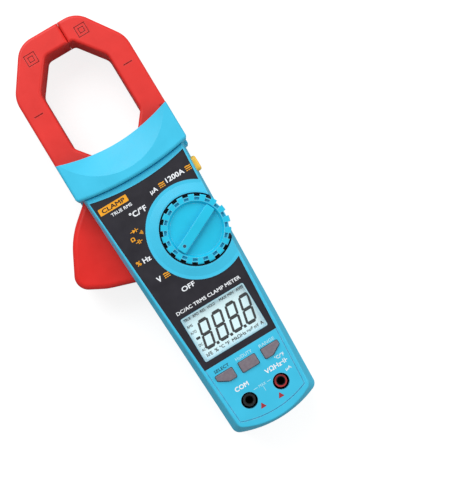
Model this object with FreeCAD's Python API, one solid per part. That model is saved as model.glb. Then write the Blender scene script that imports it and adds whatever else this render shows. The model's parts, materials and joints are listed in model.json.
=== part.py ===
"""Hand-held clamp meter, modelled as an assembly of separate pieces.

Frame: the meter lies on its back. +Z leaves the front panel, +Y points to the jaw tips and +X to the
right of the person reading the display. While modelling, Y is measured from the lower end of the case;
export moves the origin to the middle of the flat back. Millimetres throughout.
"""

import FreeCAD
import Part
import math
import os

# ---- driving dimensions: case -------------------------------------------------------------
ORIGIN_FROM_END = 85.0      # the origin's distance from the case's lower end
CASE_HALF_LOW = 24.7        # half width of the case at its lower corners
CASE_HALF_TOP = 30.3        # half width of the case where it meets the head
CASE_CORNER_Y = 5.4         # height of the lower corners
CASE_TOP_Y = 149.2          # where the case's sides end under the head
CASE_TOP_SAG = 2.9          # how much lower the head joint is on the centre line
CASE_END_R = 5.0            # rounding of the lower corners
WALL = 2.2                  # case wall
PART_Z = 18.0               # parting plane of the two case halves
FRONT_Z = 37.0              # front rails
SIDE_Z = FRONT_Z - 10.0     # the sides are upright up to here, then lean in
BACK_RIM_Z = 5.0            # the back's edge bevel
BACK_INSET = 3.6            # how far that bevel comes in
RAIL_LOW = 1.8              # front rail width at the lower end
RAIL_TOP = 1.1              # front rail width at the head
FAR = 99.0                  # reaches past every piece, for cutting
GAP = 0.12                  # clearance between pieces that are fastened together
FIT = 0.02                  # clearance of a located fit
SLIP = 0.05                 # clearance of a running fit

# ---- front panel ----------------------------------------------------------------------------
PANEL_HALF_LOW = CASE_HALF_LOW - 5.2    # half width of the panel at its lower corners
PANEL_HALF_TOP = CASE_HALF_TOP - 2.5    # half width of the panel at its upper corners
PANEL_LOW_Y = 10.0
PANEL_END_Y = 6.4           # the panel's lowest point
PANEL_TOP_Y = 146.0
PANEL_TOP_SAG = 3.4
LABEL_LOW_Y = 42.2          # the printed label stops here
LABEL_T = 0.5
LABEL_SUNK = 0.45           # label surface below the rails
GROOVE_W = 0.45
GROOVE_D = 0.5
PLATE_T = 2.4               # thickness of the front plate

# ---- display ----------------------------------------------------------------------------------
WINDOW_HALF = 18.7
WINDOW_LOW_Y = 45.7
WINDOW_TOP_Y = 71.1
WINDOW_R = 0.8
WINDOW_T = 0.9
WINDOW_LEDGE = 0.5
LCD_T = 2.2
LCD_MARGIN = 1.6
LCD_GAP = 0.1               # glass to frame, and glass to light guide
LCD_FRAME_W = 1.2
BACKLIGHT_T = 1.2

# ---- range knob ---------------------------------------------------------------------------------
KNOB_X = 12.3
KNOB_Y = 107.0
KNOB_HOLE_R = 19.05
KNOB_GAP = 0.85             # from the knob's teeth to the hole
KNOB_FLOOR_Z = FRONT_Z - 4.0    # floor of the knob's pocket
KNOB_FLOOR_T = 1.5
KNOB_TOP_Z = FRONT_Z + 2.3
KNOB_RING_R = 14.6          # inner radius of the toothed rim
KNOB_DISH_Z = FRONT_Z + 0.4     # face inside the rim
KNOB_DISH_IN = 1.2          # how far the rim's inner side leans in
KNOB_TEETH = 18
KNOB_NOTCH_W = 3.0
KNOB_NOTCH_D = 1.2
KNOB_NOTCH_TURN = -2.5      # degrees from the first notch to +X
KNOB_PAD_IN = 0.4           # a recess behind each notch: from the rim's inner edge
KNOB_PAD_L = 1.5
KNOB_PAD_W = 2.6
KNOB_PAD_D = 1.4
KNOB_BAR_L = 27.6
KNOB_BAR_W = 5.2
KNOB_BAR_Z = FRONT_Z + 3.3
KNOB_BAR_R = 1.0
RANGE_STEP = 360.0 / 14     # one switch position
KNOB_BAR_ANGLE = RANGE_STEP # the bar's angle at the stored position
COLLAR_R = 26.0             # the raised collar round the knob
COLLAR_RISE = 1.5
HUB_R = 5.0
ROTOR_R = 12.9              # rotor of the range switch
ROTOR_T = 1.7
TRACK_RADII = [7.0, 9.2, 11.4]
TRACK_W = 1.6

# ---- buttons and input sockets ------------------------------------------------------------------
BUTTON_Y = 34.0
BUTTON_H = 5.7
BUTTON_W = 10.0
BUTTON_PITCH = 13.6
BUTTON_SLANT = 3.2          # the outer buttons' cut corner
BUTTON_SLANT_W = 5.6
BUTTON_R = 0.8
BUTTON_FOOT = 0.9           # the foot's overhang under the plate
DOME_H = 2.2                # rubber dome under each button
BUTTON_PROUD = 1.1
BUTTON_TRAVEL = 1.0
BUTTON_GAP = 0.25
SOCKET_Y = 17.3
SOCKET_PITCH = 19.05
SOCKET_HOLE_R = 4.4         # recess for a shrouded test plug
SOCKET_TUBE_R = 5.7
SOCKET_LOW_Z = 10.0
PILLAR_R = 3.3
PILLAR_IN_R = 2.5
CONTACT_R = 2.0             # takes a 4 mm plug pin
CONTACT_T = 0.47
CONTACT_LENGTH = 20.0
CONTACT_TAIL = 2.0
SOCKET_FLOOR_T = 2.0
SIDE_BUTTON_Y = 136.6
SIDE_BUTTON_Z = FRONT_Z - 7.4
SIDE_BUTTON_L = 8.4
SIDE_BUTTON_H = 5.0
SIDE_BUTTON_PROUD = 1.9

# ---- head and jaws --------------------------------------------------------------------------------
HEAD_HALF = CASE_HALF_TOP + 2.6
HEAD_TOP_Y = 171.3
HEAD_TOP_SAG = 4.9
HEAD_TOP_Z = FRONT_Z + 3.2
HEAD_WALL = 2.4
HEAD_BACK_BEVEL = 2.2
SCOOP_R = 34.6              # radius of the scooped facet's edge
SCOOP_FROM_TOP = 19.8       # cone radius at the middle of the head's top edge
SCOOP_SLOPE = 25.0          # degrees
SCOOP_DEPTH = 12.0
SCOOP_OVER = 6.0            # how far the scoop's cone runs on above the head
JAW_LOW_Z = 5.0
JAW_TOP_Z = 27.0
JAW_GAP_Z = 0.6             # jaw to head, above and below
JAW_HALF = HEAD_HALF + 0.6
JAW_TOP_Y = 237.3
JAW_FLAT = 17.0             # where the top edge's line meets the diagonals
JAW_SHOULDER_Y = 213.5
JAW_IN_HALF = JAW_HALF - 13.3
JAW_IN_TOP_Y = 225.1
JAW_IN_FLAT = 8.2
JAW_IN_SHOULDER_Y = 209.2
JAW_IN_KNEE_Y = 176.2
JAW_IN_LOW_Y = 163.5
JAW_TIP_X = 5.8
JAW_TIP_GAP = 0.15
JAW_TIP_R = 0.3
JAW_TOP_R = 13.0
JAW_SHOULDER_R = 15.0
JAW_IN_SHOULDER_R = 6.0
JAW_IN_KNEE_R = 5.0
JAW_IN_LOW_R = 3.0
JAW_HEEL_IN = 3.0           # the moving jaw's lower corner is cut off by this much
JAW_WALL = 1.8
JAW_EDGE_R = 1.6            # rounding of the jaws' faces
JAW_STEP_Y = 171.7          # the fixed jaw narrows below this, inside the head
JAW_ROOT_Y = 150.2
PIVOT_X = -4.0
PIVOT_Y = 155.0
PIVOT_R = 3.0
PIVOT_EYE_R = 8.5
PIVOT_LOW_Z = 1.6           # the pin's hole runs from here
PIVOT_TOP_Z = HEAD_TOP_Z - 6.0
BUSH_R = 4.6
JAW_IN_LOW_FLAT = PIVOT_X + PIVOT_EYE_R + 5.7   # clears the eye beside it
CORE_GAP = 0.2
CORE_TIP_GAP = 0.15
CORE_EYE_REACH = 2.0        # how far the moving core runs on towards the pivot's eye
SENSOR_Y = 195.0
SENSOR_T = 2.0
MARK_X = 15.2               # moulded squares near the tips
MARK_Y = 227.4
MARK_HALVES = [3.2, 1.6]
MARK_W = 0.5
MARK_D = 0.4
LINE_X = JAW_HALF - 6.5     # moulded lines beside the conductor's best place
LINE_Y = 199.8
LINE_L = 5.2
LINE_W = 0.7

# ---- trigger ------------------------------------------------------------------------------------
TRIGGER_LOW_Z = 7.5
TRIGGER_TOP_Z = 24.5
TRIGGER_WALL = 2.0
TRIGGER_EDGE_R = 3.0
TRIGGER_INNER_X = -22.0
TRIGGER_BACK = (-45.2, 137.4, 45.0)     # corners of the wing's outline: x, y, radius
TRIGGER_TIP = (-58.1, 112.4, 7.5)
TRIGGER_THUMB = (-43.1, 104.3, 30.0)
TRIGGER_FOOT_Y = 97.4
TRIGGER_NECK_Y = 136.5
TRIGGER_ROOT_Y = 142.5
TRIGGER_MOUTH = (101.0, 113.0)          # opening in the wing's inner side
TRIGGER_GAP = 1.3           # trigger to the slot's edges
TONGUE_LEFT = -27.0         # the trigger's tongue inside the jaw's root
TONGUE_RIGHT = -13.0
TONGUE_TOP_Y = 156.0
TONGUE_HALF_Z = 4.0
SLOT_LOW_Y = 88.5           # the slot in the case's side
SLOT_DEEP_Y = 133.0         # above this the slot is as deep as the jaw
SPRING_Y = 121.0
SPRING_WIRE = 1.0
SPRING_R = 4.5
SPRING_TURNS = 8
SPRING_POST_X = 12.0
SPRING_END_GAP = 0.1

# ---- circuit board and power ------------------------------------------------------------------------
BOARD_Z = FRONT_Z - 9.8
BOARD_T = 1.6
HUB_LOW_Z = BOARD_Z + BOARD_T + 0.6     # the switch's rotor runs this high
BOARD_LOW_Y = 12.5
BOARD_TOP_Y = 128.0
BOARD_EAR_TOP_Y = 144.0
BOARD_EAR_X = 12.0
BOARD_MARGIN = 1.0
CHIP_T = 1.6
CHIPS = [(2.0, 60.0, 12.0, 12.0), (-12.0, 68.0, 5.0, 6.2), (14.0, 80.0, 6.0, 5.0), (12.0, 46.0, 5.0, 4.0)]
CAPACITORS = [(16.0, 66.0, 2.5, 6.0), (16.0, 58.5, 2.5, 6.0), (-14.5, 56.0, 2.0, 5.0), (20.0, 90.0, 3.0, 7.0)]
PROTECTORS = [(-9.5, 30.0), (9.5, 30.0), (9.5, 35.0)]
PROTECTOR_W = 7.0
PROTECTOR_H = 8.0
BUZZER_PLACE = (-8.0, 40.5)
BUZZER_R = 6.0
BUZZER_H = 4.0
CELL_R = 5.25
CELL_L = 44.5
CELL_BUTTON_L = 1.0
CELL_BUTTON_R = 1.9
BATTERY_WIRE_R = 0.3
PLATE_STACK = 0.45          # a contact plate and its gap to the bay's end
CELL_PITCH = 11.0
CELL_COUNT = 3
BAY_LOW_Y = 25.0
BAY_L = 49.2
BAY_ROOF_Z = 14.2
BAY_WALL = 1.2
BAY_GAP = 0.4               # cells to the bay's sides
DOOR_MARGIN = 2.2
DOOR_T = 1.2
DOOR_GAP = 0.15

# ---- fasteners --------------------------------------------------------------------------------------
SCREW_R = 1.3
SCREW_HEAD_R = 2.5
SCREW_HEAD_T = 1.8
SCREW_SINK = 3.0            # depth of the hole for a screw's head
SCREW_GAP = 0.2             # round a screw that passes through
JAW_SCREW_SINK = 2.4
BOSS_R = 3.1
CASE_SCREWS = [(-18.2, 10.6), (18.2, 10.6), (-23.6, 82.0), (24.6, 126.0)]
HEAD_SCREWS = [(12.5, 154.0), (26.0, 154.0)]
JAW_SCREWS = [(-24.0, 152.6), (-16.0, 152.0)]
DOOR_SCREW_HEAD_Z = 0.3     # the battery door's screw head sits this deep
DOOR_PAD_R = 4.0            # the door is thicker round its screw
DOOR_PAD_Z = 2.8


# ---- shape helpers ------------------------------------------------------------------------------------
def point(x, y, z=0.0):
    return FreeCAD.Vector(x, y, z)


def turned(x, y, degrees, about=(0.0, 0.0)):
    """The point (x, y) turned about another point."""
    a = math.radians(degrees)
    dx = x - about[0]
    dy = y - about[1]
    return (about[0] + dx * math.cos(a) - dy * math.sin(a), about[1] + dx * math.sin(a) + dy * math.cos(a))


def cylinder(radius, low, high, x=0.0, y=0.0):
    return Part.makeCylinder(radius, high - low, point(x, y, low))


def tube(outer, inner, low, high, x=0.0, y=0.0):
    return cylinder(outer, low, high, x, y).cut(cylinder(inner, low - 1, high + 1, x, y))


def box(x0, x1, y0, y1, z0, z1):
    return Part.makeBox(x1 - x0, y1 - y0, z1 - z0, point(x0, y0, z0))


def joined(shapes):
    """One solid from several that overlap or touch."""
    first, *rest = shapes
    return first.fuse(rest).removeSplitter() if rest else first


def prism(corners, low, high):
    """Upright solid over a list of (x, y, corner radius)."""
    return Part.Face(rounded_wire(corners, low)).extrude(point(0, 0, high - low))


def rounded_wire(corners, z=0.0):
    """Closed wire through the corners, each rounded by its own radius."""
    spans = []
    count = len(corners)
    for i, (x, y, radius) in enumerate(corners):
        corner = point(x, y, z)
        before = point(corners[i - 1][0], corners[i - 1][1], z) - corner
        after = point(corners[(i + 1) % count][0], corners[(i + 1) % count][1], z) - corner
        before.normalize()
        after.normalize()
        if radius <= 0:
            spans.append((corner, None, corner))
            continue
        half = before.getAngle(after) / 2
        inward = before + after
        inward.normalize()
        centre = corner + inward * (radius / math.sin(half))
        reach = radius / math.tan(half)
        spans.append((corner + before * reach, centre - inward * radius, corner + after * reach))
    edges = []
    for i, (start, middle, end) in enumerate(spans):
        if middle is not None:
            edges.append(Part.Arc(start, middle, end).toShape())
        following = spans[(i + 1) % count][0]
        if end.distanceToPoint(following) > 1e-6:
            edges.append(Part.LineSegment(end, following).toShape())
    return Part.Wire(edges)


def offset_corners(corners, inset):
    """The corners of a counter-clockwise outline moved in by one distance, or by one per side.

    Side i runs from corner i to corner i + 1.
    """
    count = len(corners)
    insets = inset if isinstance(inset, list) else [inset] * count
    moved = []
    for i in range(count):
        x0, y0 = corners[i - 1][:2]
        x1, y1, radius = corners[i]
        x2, y2 = corners[(i + 1) % count][:2]
        ux, uy = x1 - x0, y1 - y0
        vx, vy = x2 - x1, y2 - y1
        lu, lv = math.hypot(ux, uy), math.hypot(vx, vy)
        ux, uy, vx, vy = ux / lu, uy / lu, vx / lv, vy / lv
        a, b = insets[i - 1], insets[i]
        px, py = x1 - uy * a, y1 + ux * a
        qx, qy = x1 - vy * b, y1 + vx * b
        cross = ux * vy - uy * vx
        t = ((qx - px) * vy - (qy - py) * vx) / cross
        bend = -min(a, b) if cross > 0 else max(a, b)
        moved.append((px + ux * t, py + uy * t, max(0.0, radius + bend)))
    return moved


def top_arc_y(x):
    """Height of the case's curved upper end at x."""
    radius = (CASE_HALF_TOP ** 2 + CASE_TOP_SAG ** 2) / (2 * CASE_TOP_SAG)
    return CASE_TOP_Y - CASE_TOP_SAG + radius - math.sqrt(radius ** 2 - x ** 2)


def case_wire(inset, z, rail=0.0):
    """The case's outline at height z: straight sides that taper, an arc at each end.

    inset moves every side in. rail above 0 gives the front face's narrower outline instead.
    """
    if rail:
        low, top = PANEL_HALF_LOW + RAIL_LOW - inset, PANEL_HALF_TOP + RAIL_TOP - inset
        corner_y, end_y = PANEL_LOW_Y - RAIL_LOW + inset, PANEL_END_Y - 2.2 * RAIL_LOW + inset
    else:
        low, top = CASE_HALF_LOW - inset, CASE_HALF_TOP - inset
        corner_y, end_y = CASE_CORNER_Y + inset, inset
    top_y = top_arc_y(top) - inset
    right_low, left_low = point(low, corner_y, z), point(-low, corner_y, z)
    right_top, left_top = point(top, top_y, z), point(-top, top_y, z)
    return Part.Wire([
        Part.Arc(left_low, point(0, end_y, z), right_low).toShape(),
        Part.LineSegment(right_low, right_top).toShape(),
        Part.Arc(right_top, point(0, top_arc_y(0) - inset, z), left_top).toShape(),
        Part.LineSegment(left_top, left_low).toShape(),
    ])


def case_body(stations):
    """Solid through case outlines, each given as (inset, z, rail)."""
    solids = []
    for lower, upper in zip(stations, stations[1:]):
        solids.append(Part.makeLoft([case_wire(*lower), case_wire(*upper)], True, True))
    return joined(solids)


def edges_at_height(shape, z, tolerance=0.01):
    """The edges that lie wholly in the plane at height z."""
    found = []
    for edge in shape.Edges:
        bounds = edge.BoundBox
        if abs(bounds.ZMin - z) < tolerance and abs(bounds.ZMax - z) < tolerance:
            found.append(edge)
    return found


def corner_edges(shape, y_below):
    """The leaning or upright edges at the case's two lower corners."""
    found = []
    for edge in shape.Edges:
        bounds = edge.BoundBox
        if bounds.YMax < y_below and bounds.ZLength > 2.0 and abs(edge.CenterOfMass.x) > 15.0:
            found.append(edge)
    return found


def case_half_at(y):
    """Half width of the case's upright sides at a height along it."""
    share = (y - CASE_CORNER_Y) / (CASE_TOP_Y - CASE_CORNER_Y)
    return CASE_HALF_LOW + (CASE_HALF_TOP - CASE_HALF_LOW) * share


def panel_corners(low_y, growth=0.0):
    """The panel's outline above low_y, grown by a margin, as straight sides with the top arc's ends."""
    slope = (PANEL_HALF_TOP - PANEL_HALF_LOW) / (PANEL_TOP_Y - PANEL_LOW_Y)
    low = PANEL_HALF_LOW + slope * (low_y - PANEL_LOW_Y) + growth
    return low, PANEL_HALF_TOP + growth


def label_area(growth, low, high):
    """Upright solid over the printed label's outline, less the knob's collar."""
    half_low, half_top = panel_corners(LABEL_LOW_Y, growth)
    y0, y1 = LABEL_LOW_Y - growth, PANEL_TOP_Y + growth
    wire = Part.Wire([
        Part.LineSegment(point(-half_low, y0, low), point(half_low, y0, low)).toShape(),
        Part.LineSegment(point(half_low, y0, low), point(half_top, y1, low)).toShape(),
        Part.Arc(point(half_top, y1, low), point(0, y1 - PANEL_TOP_SAG, low),
                 point(-half_top, y1, low)).toShape(),
        Part.LineSegment(point(-half_top, y1, low), point(-half_low, y0, low)).toShape(),
    ])
    area = Part.Face(wire).extrude(point(0, 0, high - low))
    return area.cut(cylinder(COLLAR_R - growth, low - 1, high + 1, KNOB_X, KNOB_Y))


def lower_panel(inset, low, high):
    """Upright solid over the part of the panel below the label."""
    half_low = panel_corners(LABEL_LOW_Y)[0]
    half_end = PANEL_HALF_LOW - inset
    half_high = half_low - inset
    y_low = PANEL_LOW_Y + inset
    y_end = PANEL_END_Y + inset
    wire = Part.Wire([
        Part.Arc(point(-half_end, y_low, low), point(0, y_end, low), point(half_end, y_low, low)).toShape(),
        Part.LineSegment(point(half_end, y_low, low), point(half_high, LABEL_LOW_Y, low)).toShape(),
        Part.LineSegment(point(half_high, LABEL_LOW_Y, low), point(-half_high, LABEL_LOW_Y, low)).toShape(),
        Part.LineSegment(point(-half_high, LABEL_LOW_Y, low), point(-half_end, y_low, low)).toShape(),
    ])
    return Part.Face(wire).extrude(point(0, 0, high - low))


# ---- outlines of the jaws ---------------------------------------------------------------------------
def jaw_floor_ends():
    """The two ends of the moving jaw's lower edge."""
    return (-JAW_HALF + JAW_HEEL_IN, PIVOT_Y - 5.0), (PIVOT_X - 3.0, PIVOT_Y - PIVOT_EYE_R + 0.5)


def moving_jaw_corners():
    """Counter-clockwise outline of the moving jaw without its pivot eye."""
    heel, hip = jaw_floor_ends()
    return [
        (JAW_TIP_X, JAW_IN_TOP_Y, 0.0),
        (JAW_TIP_X, JAW_TOP_Y, JAW_TIP_R),
        (-JAW_FLAT, JAW_TOP_Y, JAW_TOP_R),
        (-JAW_HALF, JAW_SHOULDER_Y, JAW_SHOULDER_R),
        (-JAW_HALF, PIVOT_Y - 2.4, 1.6),
        (*heel, 1.6),
        (*hip, 0.0),
        (PIVOT_X, JAW_IN_LOW_Y, 0.0),
        (-JAW_IN_LOW_FLAT, JAW_IN_LOW_Y, JAW_IN_LOW_R),
        (-JAW_IN_HALF, JAW_IN_KNEE_Y, JAW_IN_KNEE_R),
        (-JAW_IN_HALF, JAW_IN_SHOULDER_Y, JAW_IN_SHOULDER_R),
        (-JAW_IN_FLAT, JAW_IN_TOP_Y, 4.0),
    ]


def fixed_jaw_corners():
    """Counter-clockwise outline of the fixed jaw, which narrows inside the head."""
    tip = JAW_TIP_X + JAW_TIP_GAP
    root = HEAD_HALF - HEAD_WALL - GAP
    eye_side = PIVOT_X + PIVOT_EYE_R + 1.6
    return [
        (tip, JAW_TOP_Y, JAW_TIP_R),
        (tip, JAW_IN_TOP_Y, 0.0),
        (JAW_IN_FLAT, JAW_IN_TOP_Y, 3.0),
        (JAW_IN_HALF, JAW_IN_SHOULDER_Y, JAW_IN_SHOULDER_R),
        (JAW_IN_HALF, JAW_IN_KNEE_Y, JAW_IN_KNEE_R),
        (JAW_IN_LOW_FLAT, JAW_IN_LOW_Y, JAW_IN_LOW_R),
        (eye_side, JAW_IN_LOW_Y, 0.6),
        (eye_side, JAW_ROOT_Y, 0.6),
        (root, JAW_ROOT_Y, 0.6),
        (root, JAW_STEP_Y, 0.0),
        (JAW_HALF, JAW_STEP_Y, 1.0),
        (JAW_HALF, JAW_SHOULDER_Y, JAW_SHOULDER_R),
        (JAW_FLAT, JAW_TOP_Y, JAW_TOP_R),
    ]


def core_band(corners, tip_side, inset, tip_inset, low, high):
    """The space for a jaw's iron core: the jaw's outline moved in, open at the tip."""
    insets = [inset] * len(corners)
    insets[tip_side] = tip_inset
    return prism(offset_corners(corners, insets), low, high)


def moving_core_space(inset, tip_inset, low, high):
    """The moving core stops short of the trigger's tongue and the pivot eye."""
    band = core_band(moving_jaw_corners(), 0, inset, tip_inset, low, high)
    stop_y = TONGUE_TOP_Y + 0.2 + inset
    band = band.cut(box(-FAR, FAR, 0, stop_y, low - 1, high + 1))
    eye_side = PIVOT_X - PIVOT_EYE_R - JAW_WALL + CORE_EYE_REACH - inset
    return band.cut(box(eye_side, FAR, 0, JAW_IN_KNEE_Y, low - 1, high + 1))


def fixed_core_space(inset, tip_inset, low, high):
    """The fixed core stops above the head's screws."""
    band = core_band(fixed_jaw_corners(), 0, inset, tip_inset, low, high)
    stop_y = HEAD_SCREWS[0][1] + SCREW_HEAD_R + inset
    return band.cut(box(-FAR, FAR, 0, stop_y, low - 1, high + 1))


def rim_rounded(solid, z, radius):
    """Rounds the edges of the face at height z."""
    return solid.makeFillet(radius, edges_at_height(solid, z))


# ---- case ----------------------------------------------------------------------------------------------
def side_slot():
    """The opening in the case's left side that the trigger and the jaw's root swing through."""
    inner = -case_half_at(SLOT_LOW_Y) + 6.0
    above = CASE_TOP_Y + 5
    low, high = TRIGGER_LOW_Z - TRIGGER_GAP, TRIGGER_TOP_Z + TRIGGER_GAP
    trigger_part = box(-FAR, inner, SLOT_LOW_Y, above, low, high)
    jaw_part = box(-FAR, inner, SLOT_DEEP_Y, above, JAW_LOW_Z - JAW_GAP_Z, JAW_TOP_Z + JAW_GAP_Z)
    return trigger_part.fuse(jaw_part)


def neck_room(low, high):
    """The open way from the case into the head, clear of the case's right wall."""
    y0 = CASE_TOP_Y - CASE_TOP_SAG - WALL - 3.0
    return box(-FAR, case_half_at(y0) - WALL, y0, top_arc_y(HEAD_HALF) + 2.0, low, high)


def head_wire(inset, z, above_case=GAP):
    """The head's outline: upright sides, and arcs at both ends. The lower one follows the case's end."""
    half = HEAD_HALF - inset
    top, low = HEAD_TOP_Y - inset, top_arc_y(half) + above_case + inset
    middle = top_arc_y(0) + above_case + inset
    return Part.Wire([
        Part.Arc(point(-half, low, z), point(0, middle, z), point(half, low, z)).toShape(),
        Part.LineSegment(point(half, low, z), point(half, top, z)).toShape(),
        Part.Arc(point(half, top, z), point(0, top - HEAD_TOP_SAG, z), point(-half, top, z)).toShape(),
        Part.LineSegment(point(-half, top, z), point(-half, low, z)).toShape(),
    ])


def rear_case():
    """Lower shell with the head's floor, the battery bay and the screw bosses."""
    outer = case_body([(BACK_INSET, 0.0), (0.0, BACK_RIM_Z), (0.0, PART_Z)])
    outer = outer.makeFillet(CASE_END_R, corner_edges(outer, CASE_CORNER_Y + BACK_INSET + 1))
    floor_z = JAW_LOW_Z - JAW_GAP_Z
    bevel = HEAD_BACK_BEVEL
    head = Part.makeLoft([head_wire(bevel, 0.0, -1.0), head_wire(0.0, bevel, -1.0)], True, True)
    head = joined([head, Part.Face(head_wire(0.0, bevel, -1.0)).extrude(point(0, 0, PART_Z - bevel))])
    shell = joined([outer, head])

    hollow = case_body([(BACK_INSET + 0.6, WALL), (WALL, BACK_RIM_Z + 1.0), (WALL, PART_Z + 1)])
    head_low_y = top_arc_y(HEAD_HALF) - 0.8
    head_room = box(-FAR, HEAD_HALF - HEAD_WALL, head_low_y, HEAD_TOP_Y + 5, floor_z, PART_Z + 1)
    shell = shell.cut([hollow, head_room, neck_room(floor_z, PART_Z + 1), side_slot()])

    bay_half = cells_half() + BAY_GAP
    bay = box(-bay_half, bay_half, BAY_LOW_Y, BAY_LOW_Y + BAY_L, -1, BAY_ROOF_Z)
    bay_walls = box(-bay_half - BAY_WALL, bay_half + BAY_WALL, BAY_LOW_Y - BAY_WALL,
                    BAY_LOW_Y + BAY_L + BAY_WALL, WALL - 0.2, BAY_ROOF_Z + BAY_WALL)
    adds = [bay_walls]
    for x, y in CASE_SCREWS:
        adds.append(cylinder(BOSS_R, WALL - 0.2, PART_Z, x, y))
    adds.append(cylinder(DOOR_PAD_R + 1.0, 0.5, 10.0, 0, door_screw_y()))
    for x, y in HEAD_SCREWS:
        adds.append(cylinder(BOSS_R + 1.0, 0.5, JAW_LOW_Z - FIT, x, y))
    adds.append(cylinder(SPRING_R - SPRING_WIRE - 0.4, WALL - 0.2, 10.0, SPRING_POST_X + 4.0, SPRING_Y))
    adds.append(box(SPRING_POST_X, SPRING_POST_X + 2.0, SPRING_Y - 6.0, SPRING_Y + 6.0, WALL - 0.2, 22.5))
    adds.append(cylinder(PIVOT_R + 3.0, 0.5, JAW_LOW_Z - 0.3, PIVOT_X, PIVOT_Y))
    shell = joined([shell] + adds)
    keep = case_body([(BACK_INSET, 0.0), (0.0, BACK_RIM_Z), (0.0, PART_Z + 6.0)])
    shell = shell.common(keep.fuse(box(-40, 40, 140, 180, 0, PART_Z)))

    cuts = [
        bay,
        door_outline(0.0, -1.0, DOOR_T),
        cylinder(DOOR_PAD_R + DOOR_GAP, -1, DOOR_PAD_Z + 0.1, 0, door_screw_y()),
    ]
    for x, y in CASE_SCREWS + HEAD_SCREWS:
        cuts.append(cylinder(SCREW_R + SCREW_GAP, -1, PART_Z + 1, x, y))
        cuts.append(cylinder(SCREW_HEAD_R + SCREW_GAP, -1, SCREW_SINK, x, y))
    cuts.append(cylinder(SCREW_R + FIT, -1, 9.0, 0, door_screw_y()))
    cuts.append(cylinder(PIVOT_R + FIT, PIVOT_LOW_Z, PART_Z, PIVOT_X, PIVOT_Y))
    return shell.cut(cuts).removeSplitter()


def cells_half():
    """Half the width of the row of cells."""
    return CELL_COUNT * CELL_PITCH / 2


def door_screw_y():
    return BAY_LOW_Y + BAY_L + 2 * DOOR_MARGIN


def door_outline(shrink, low_z, high_z):
    """The battery door's plate, with a tongue that takes its screw."""
    bay_half = cells_half() + DOOR_MARGIN - shrink
    low = BAY_LOW_Y - DOOR_MARGIN + 0.6 + shrink
    high = BAY_LOW_Y + BAY_L + 0.2 - shrink
    tongue_half = DOOR_PAD_R + 1.6 - shrink
    tongue_high = door_screw_y() + DOOR_PAD_R + 0.6 - shrink
    return prism([
        (-bay_half, low, 3.0), (bay_half, low, 3.0), (bay_half, high, 2.0), (tongue_half + 2.0, high, 1.0),
        (tongue_half, tongue_high, 2.0), (-tongue_half, tongue_high, 2.0), (-tongue_half - 2.0, high, 1.0),
        (-bay_half, high, 2.0),
    ], low_z, high_z)


def front_case():
    """Upper shell: rails, recessed panel, knob collar and pocket, socket and button holes."""
    outer = case_body([(0.0, PART_Z + GAP), (0.0, SIDE_Z), (0.0, FRONT_Z, 1.0)])
    outer = outer.makeFillet(CASE_END_R - 0.6, corner_edges(outer, CASE_CORNER_Y + 6))
    outer = rim_rounded(outer, FRONT_Z, 0.9)
    plate_low = FRONT_Z - PLATE_T - LABEL_SUNK
    hollow = case_body([(WALL, PART_Z - 1), (WALL, SIDE_Z), (WALL - 0.4, plate_low, 1.0)])
    shell = outer.cut([hollow, neck_room(PART_Z - 1, JAW_TOP_Z + JAW_GAP_Z), side_slot()])

    pocket_low = KNOB_FLOOR_Z - KNOB_FLOOR_T
    collar_low = FRONT_Z - LABEL_SUNK - 0.6
    slope = COLLAR_RISE / (COLLAR_R - KNOB_HOLE_R - 0.8)
    collar = Part.makeCone(COLLAR_R + 0.6 / slope, KNOB_HOLE_R + 0.8, COLLAR_RISE + 0.6,
                           point(KNOB_X, KNOB_Y, collar_low))
    collar = collar.common(cylinder(COLLAR_R + 0.6, 0, FAR, KNOB_X, KNOB_Y))
    pocket = cylinder(KNOB_HOLE_R + 1.8, pocket_low, FRONT_Z, KNOB_X, KNOB_Y)
    limit = case_body([(0.0, PART_Z + GAP), (0.0, SIDE_Z), (0.0, FRONT_Z, 1.0), (0.5, FRONT_Z + 2.5, 1.0)])
    shell = joined([shell, pocket.common(limit), collar.common(limit)])

    posts = []
    for x, y in CASE_SCREWS:
        posts.append(cylinder(BOSS_R - 0.4, PART_Z + GAP, plate_low + 0.5, x, y))
    shell = joined([shell] + [p.common(limit) for p in posts])

    cuts = [
        cylinder(KNOB_HOLE_R, KNOB_FLOOR_Z, FRONT_Z + 10, KNOB_X, KNOB_Y),
        cylinder(HUB_R + SLIP, pocket_low - 1, KNOB_FLOOR_Z + 1, KNOB_X, KNOB_Y),
        label_area(GAP, FRONT_Z - LABEL_SUNK - LABEL_T, FRONT_Z + 1),
        lower_panel(0.0, FRONT_Z - GROOVE_D, FRONT_Z + 1).cut(lower_panel(GROOVE_W, 0, FAR)),
        window_block(WINDOW_HALF + GAP, GAP, FRONT_Z - LABEL_SUNK - WINDOW_T, FRONT_Z + 1),
        window_block(WINDOW_HALF - WINDOW_LEDGE, -WINDOW_LEDGE, plate_low - 1, FRONT_Z + 1),
    ]
    for x, y in CASE_SCREWS:
        cuts.append(cylinder(SCREW_R + FIT, PART_Z - 1, plate_low - 1.2, x, y))
    for side in (-1, 1):
        cuts.append(cylinder(SOCKET_HOLE_R, plate_low - 1, FRONT_Z + 1, side * SOCKET_PITCH / 2, SOCKET_Y))
    for place in (-1, 0, 1):
        cuts.append(button_block(place, -BUTTON_GAP, plate_low - 1, FRONT_Z + 1))
    cuts.append(side_button_block(-BUTTON_GAP, case_half_at(SIDE_BUTTON_Y) - 8, 40.0))
    return shell.cut(cuts).removeSplitter()


def window_block(half, growth, low, high):
    """Upright block over the display window, grown by a margin."""
    y0, y1 = WINDOW_LOW_Y - growth, WINDOW_TOP_Y + growth
    r = WINDOW_R
    return prism([(-half, y0, r), (half, y0, r), (half, y1, r), (-half, y1, r)], low, high)


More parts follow.
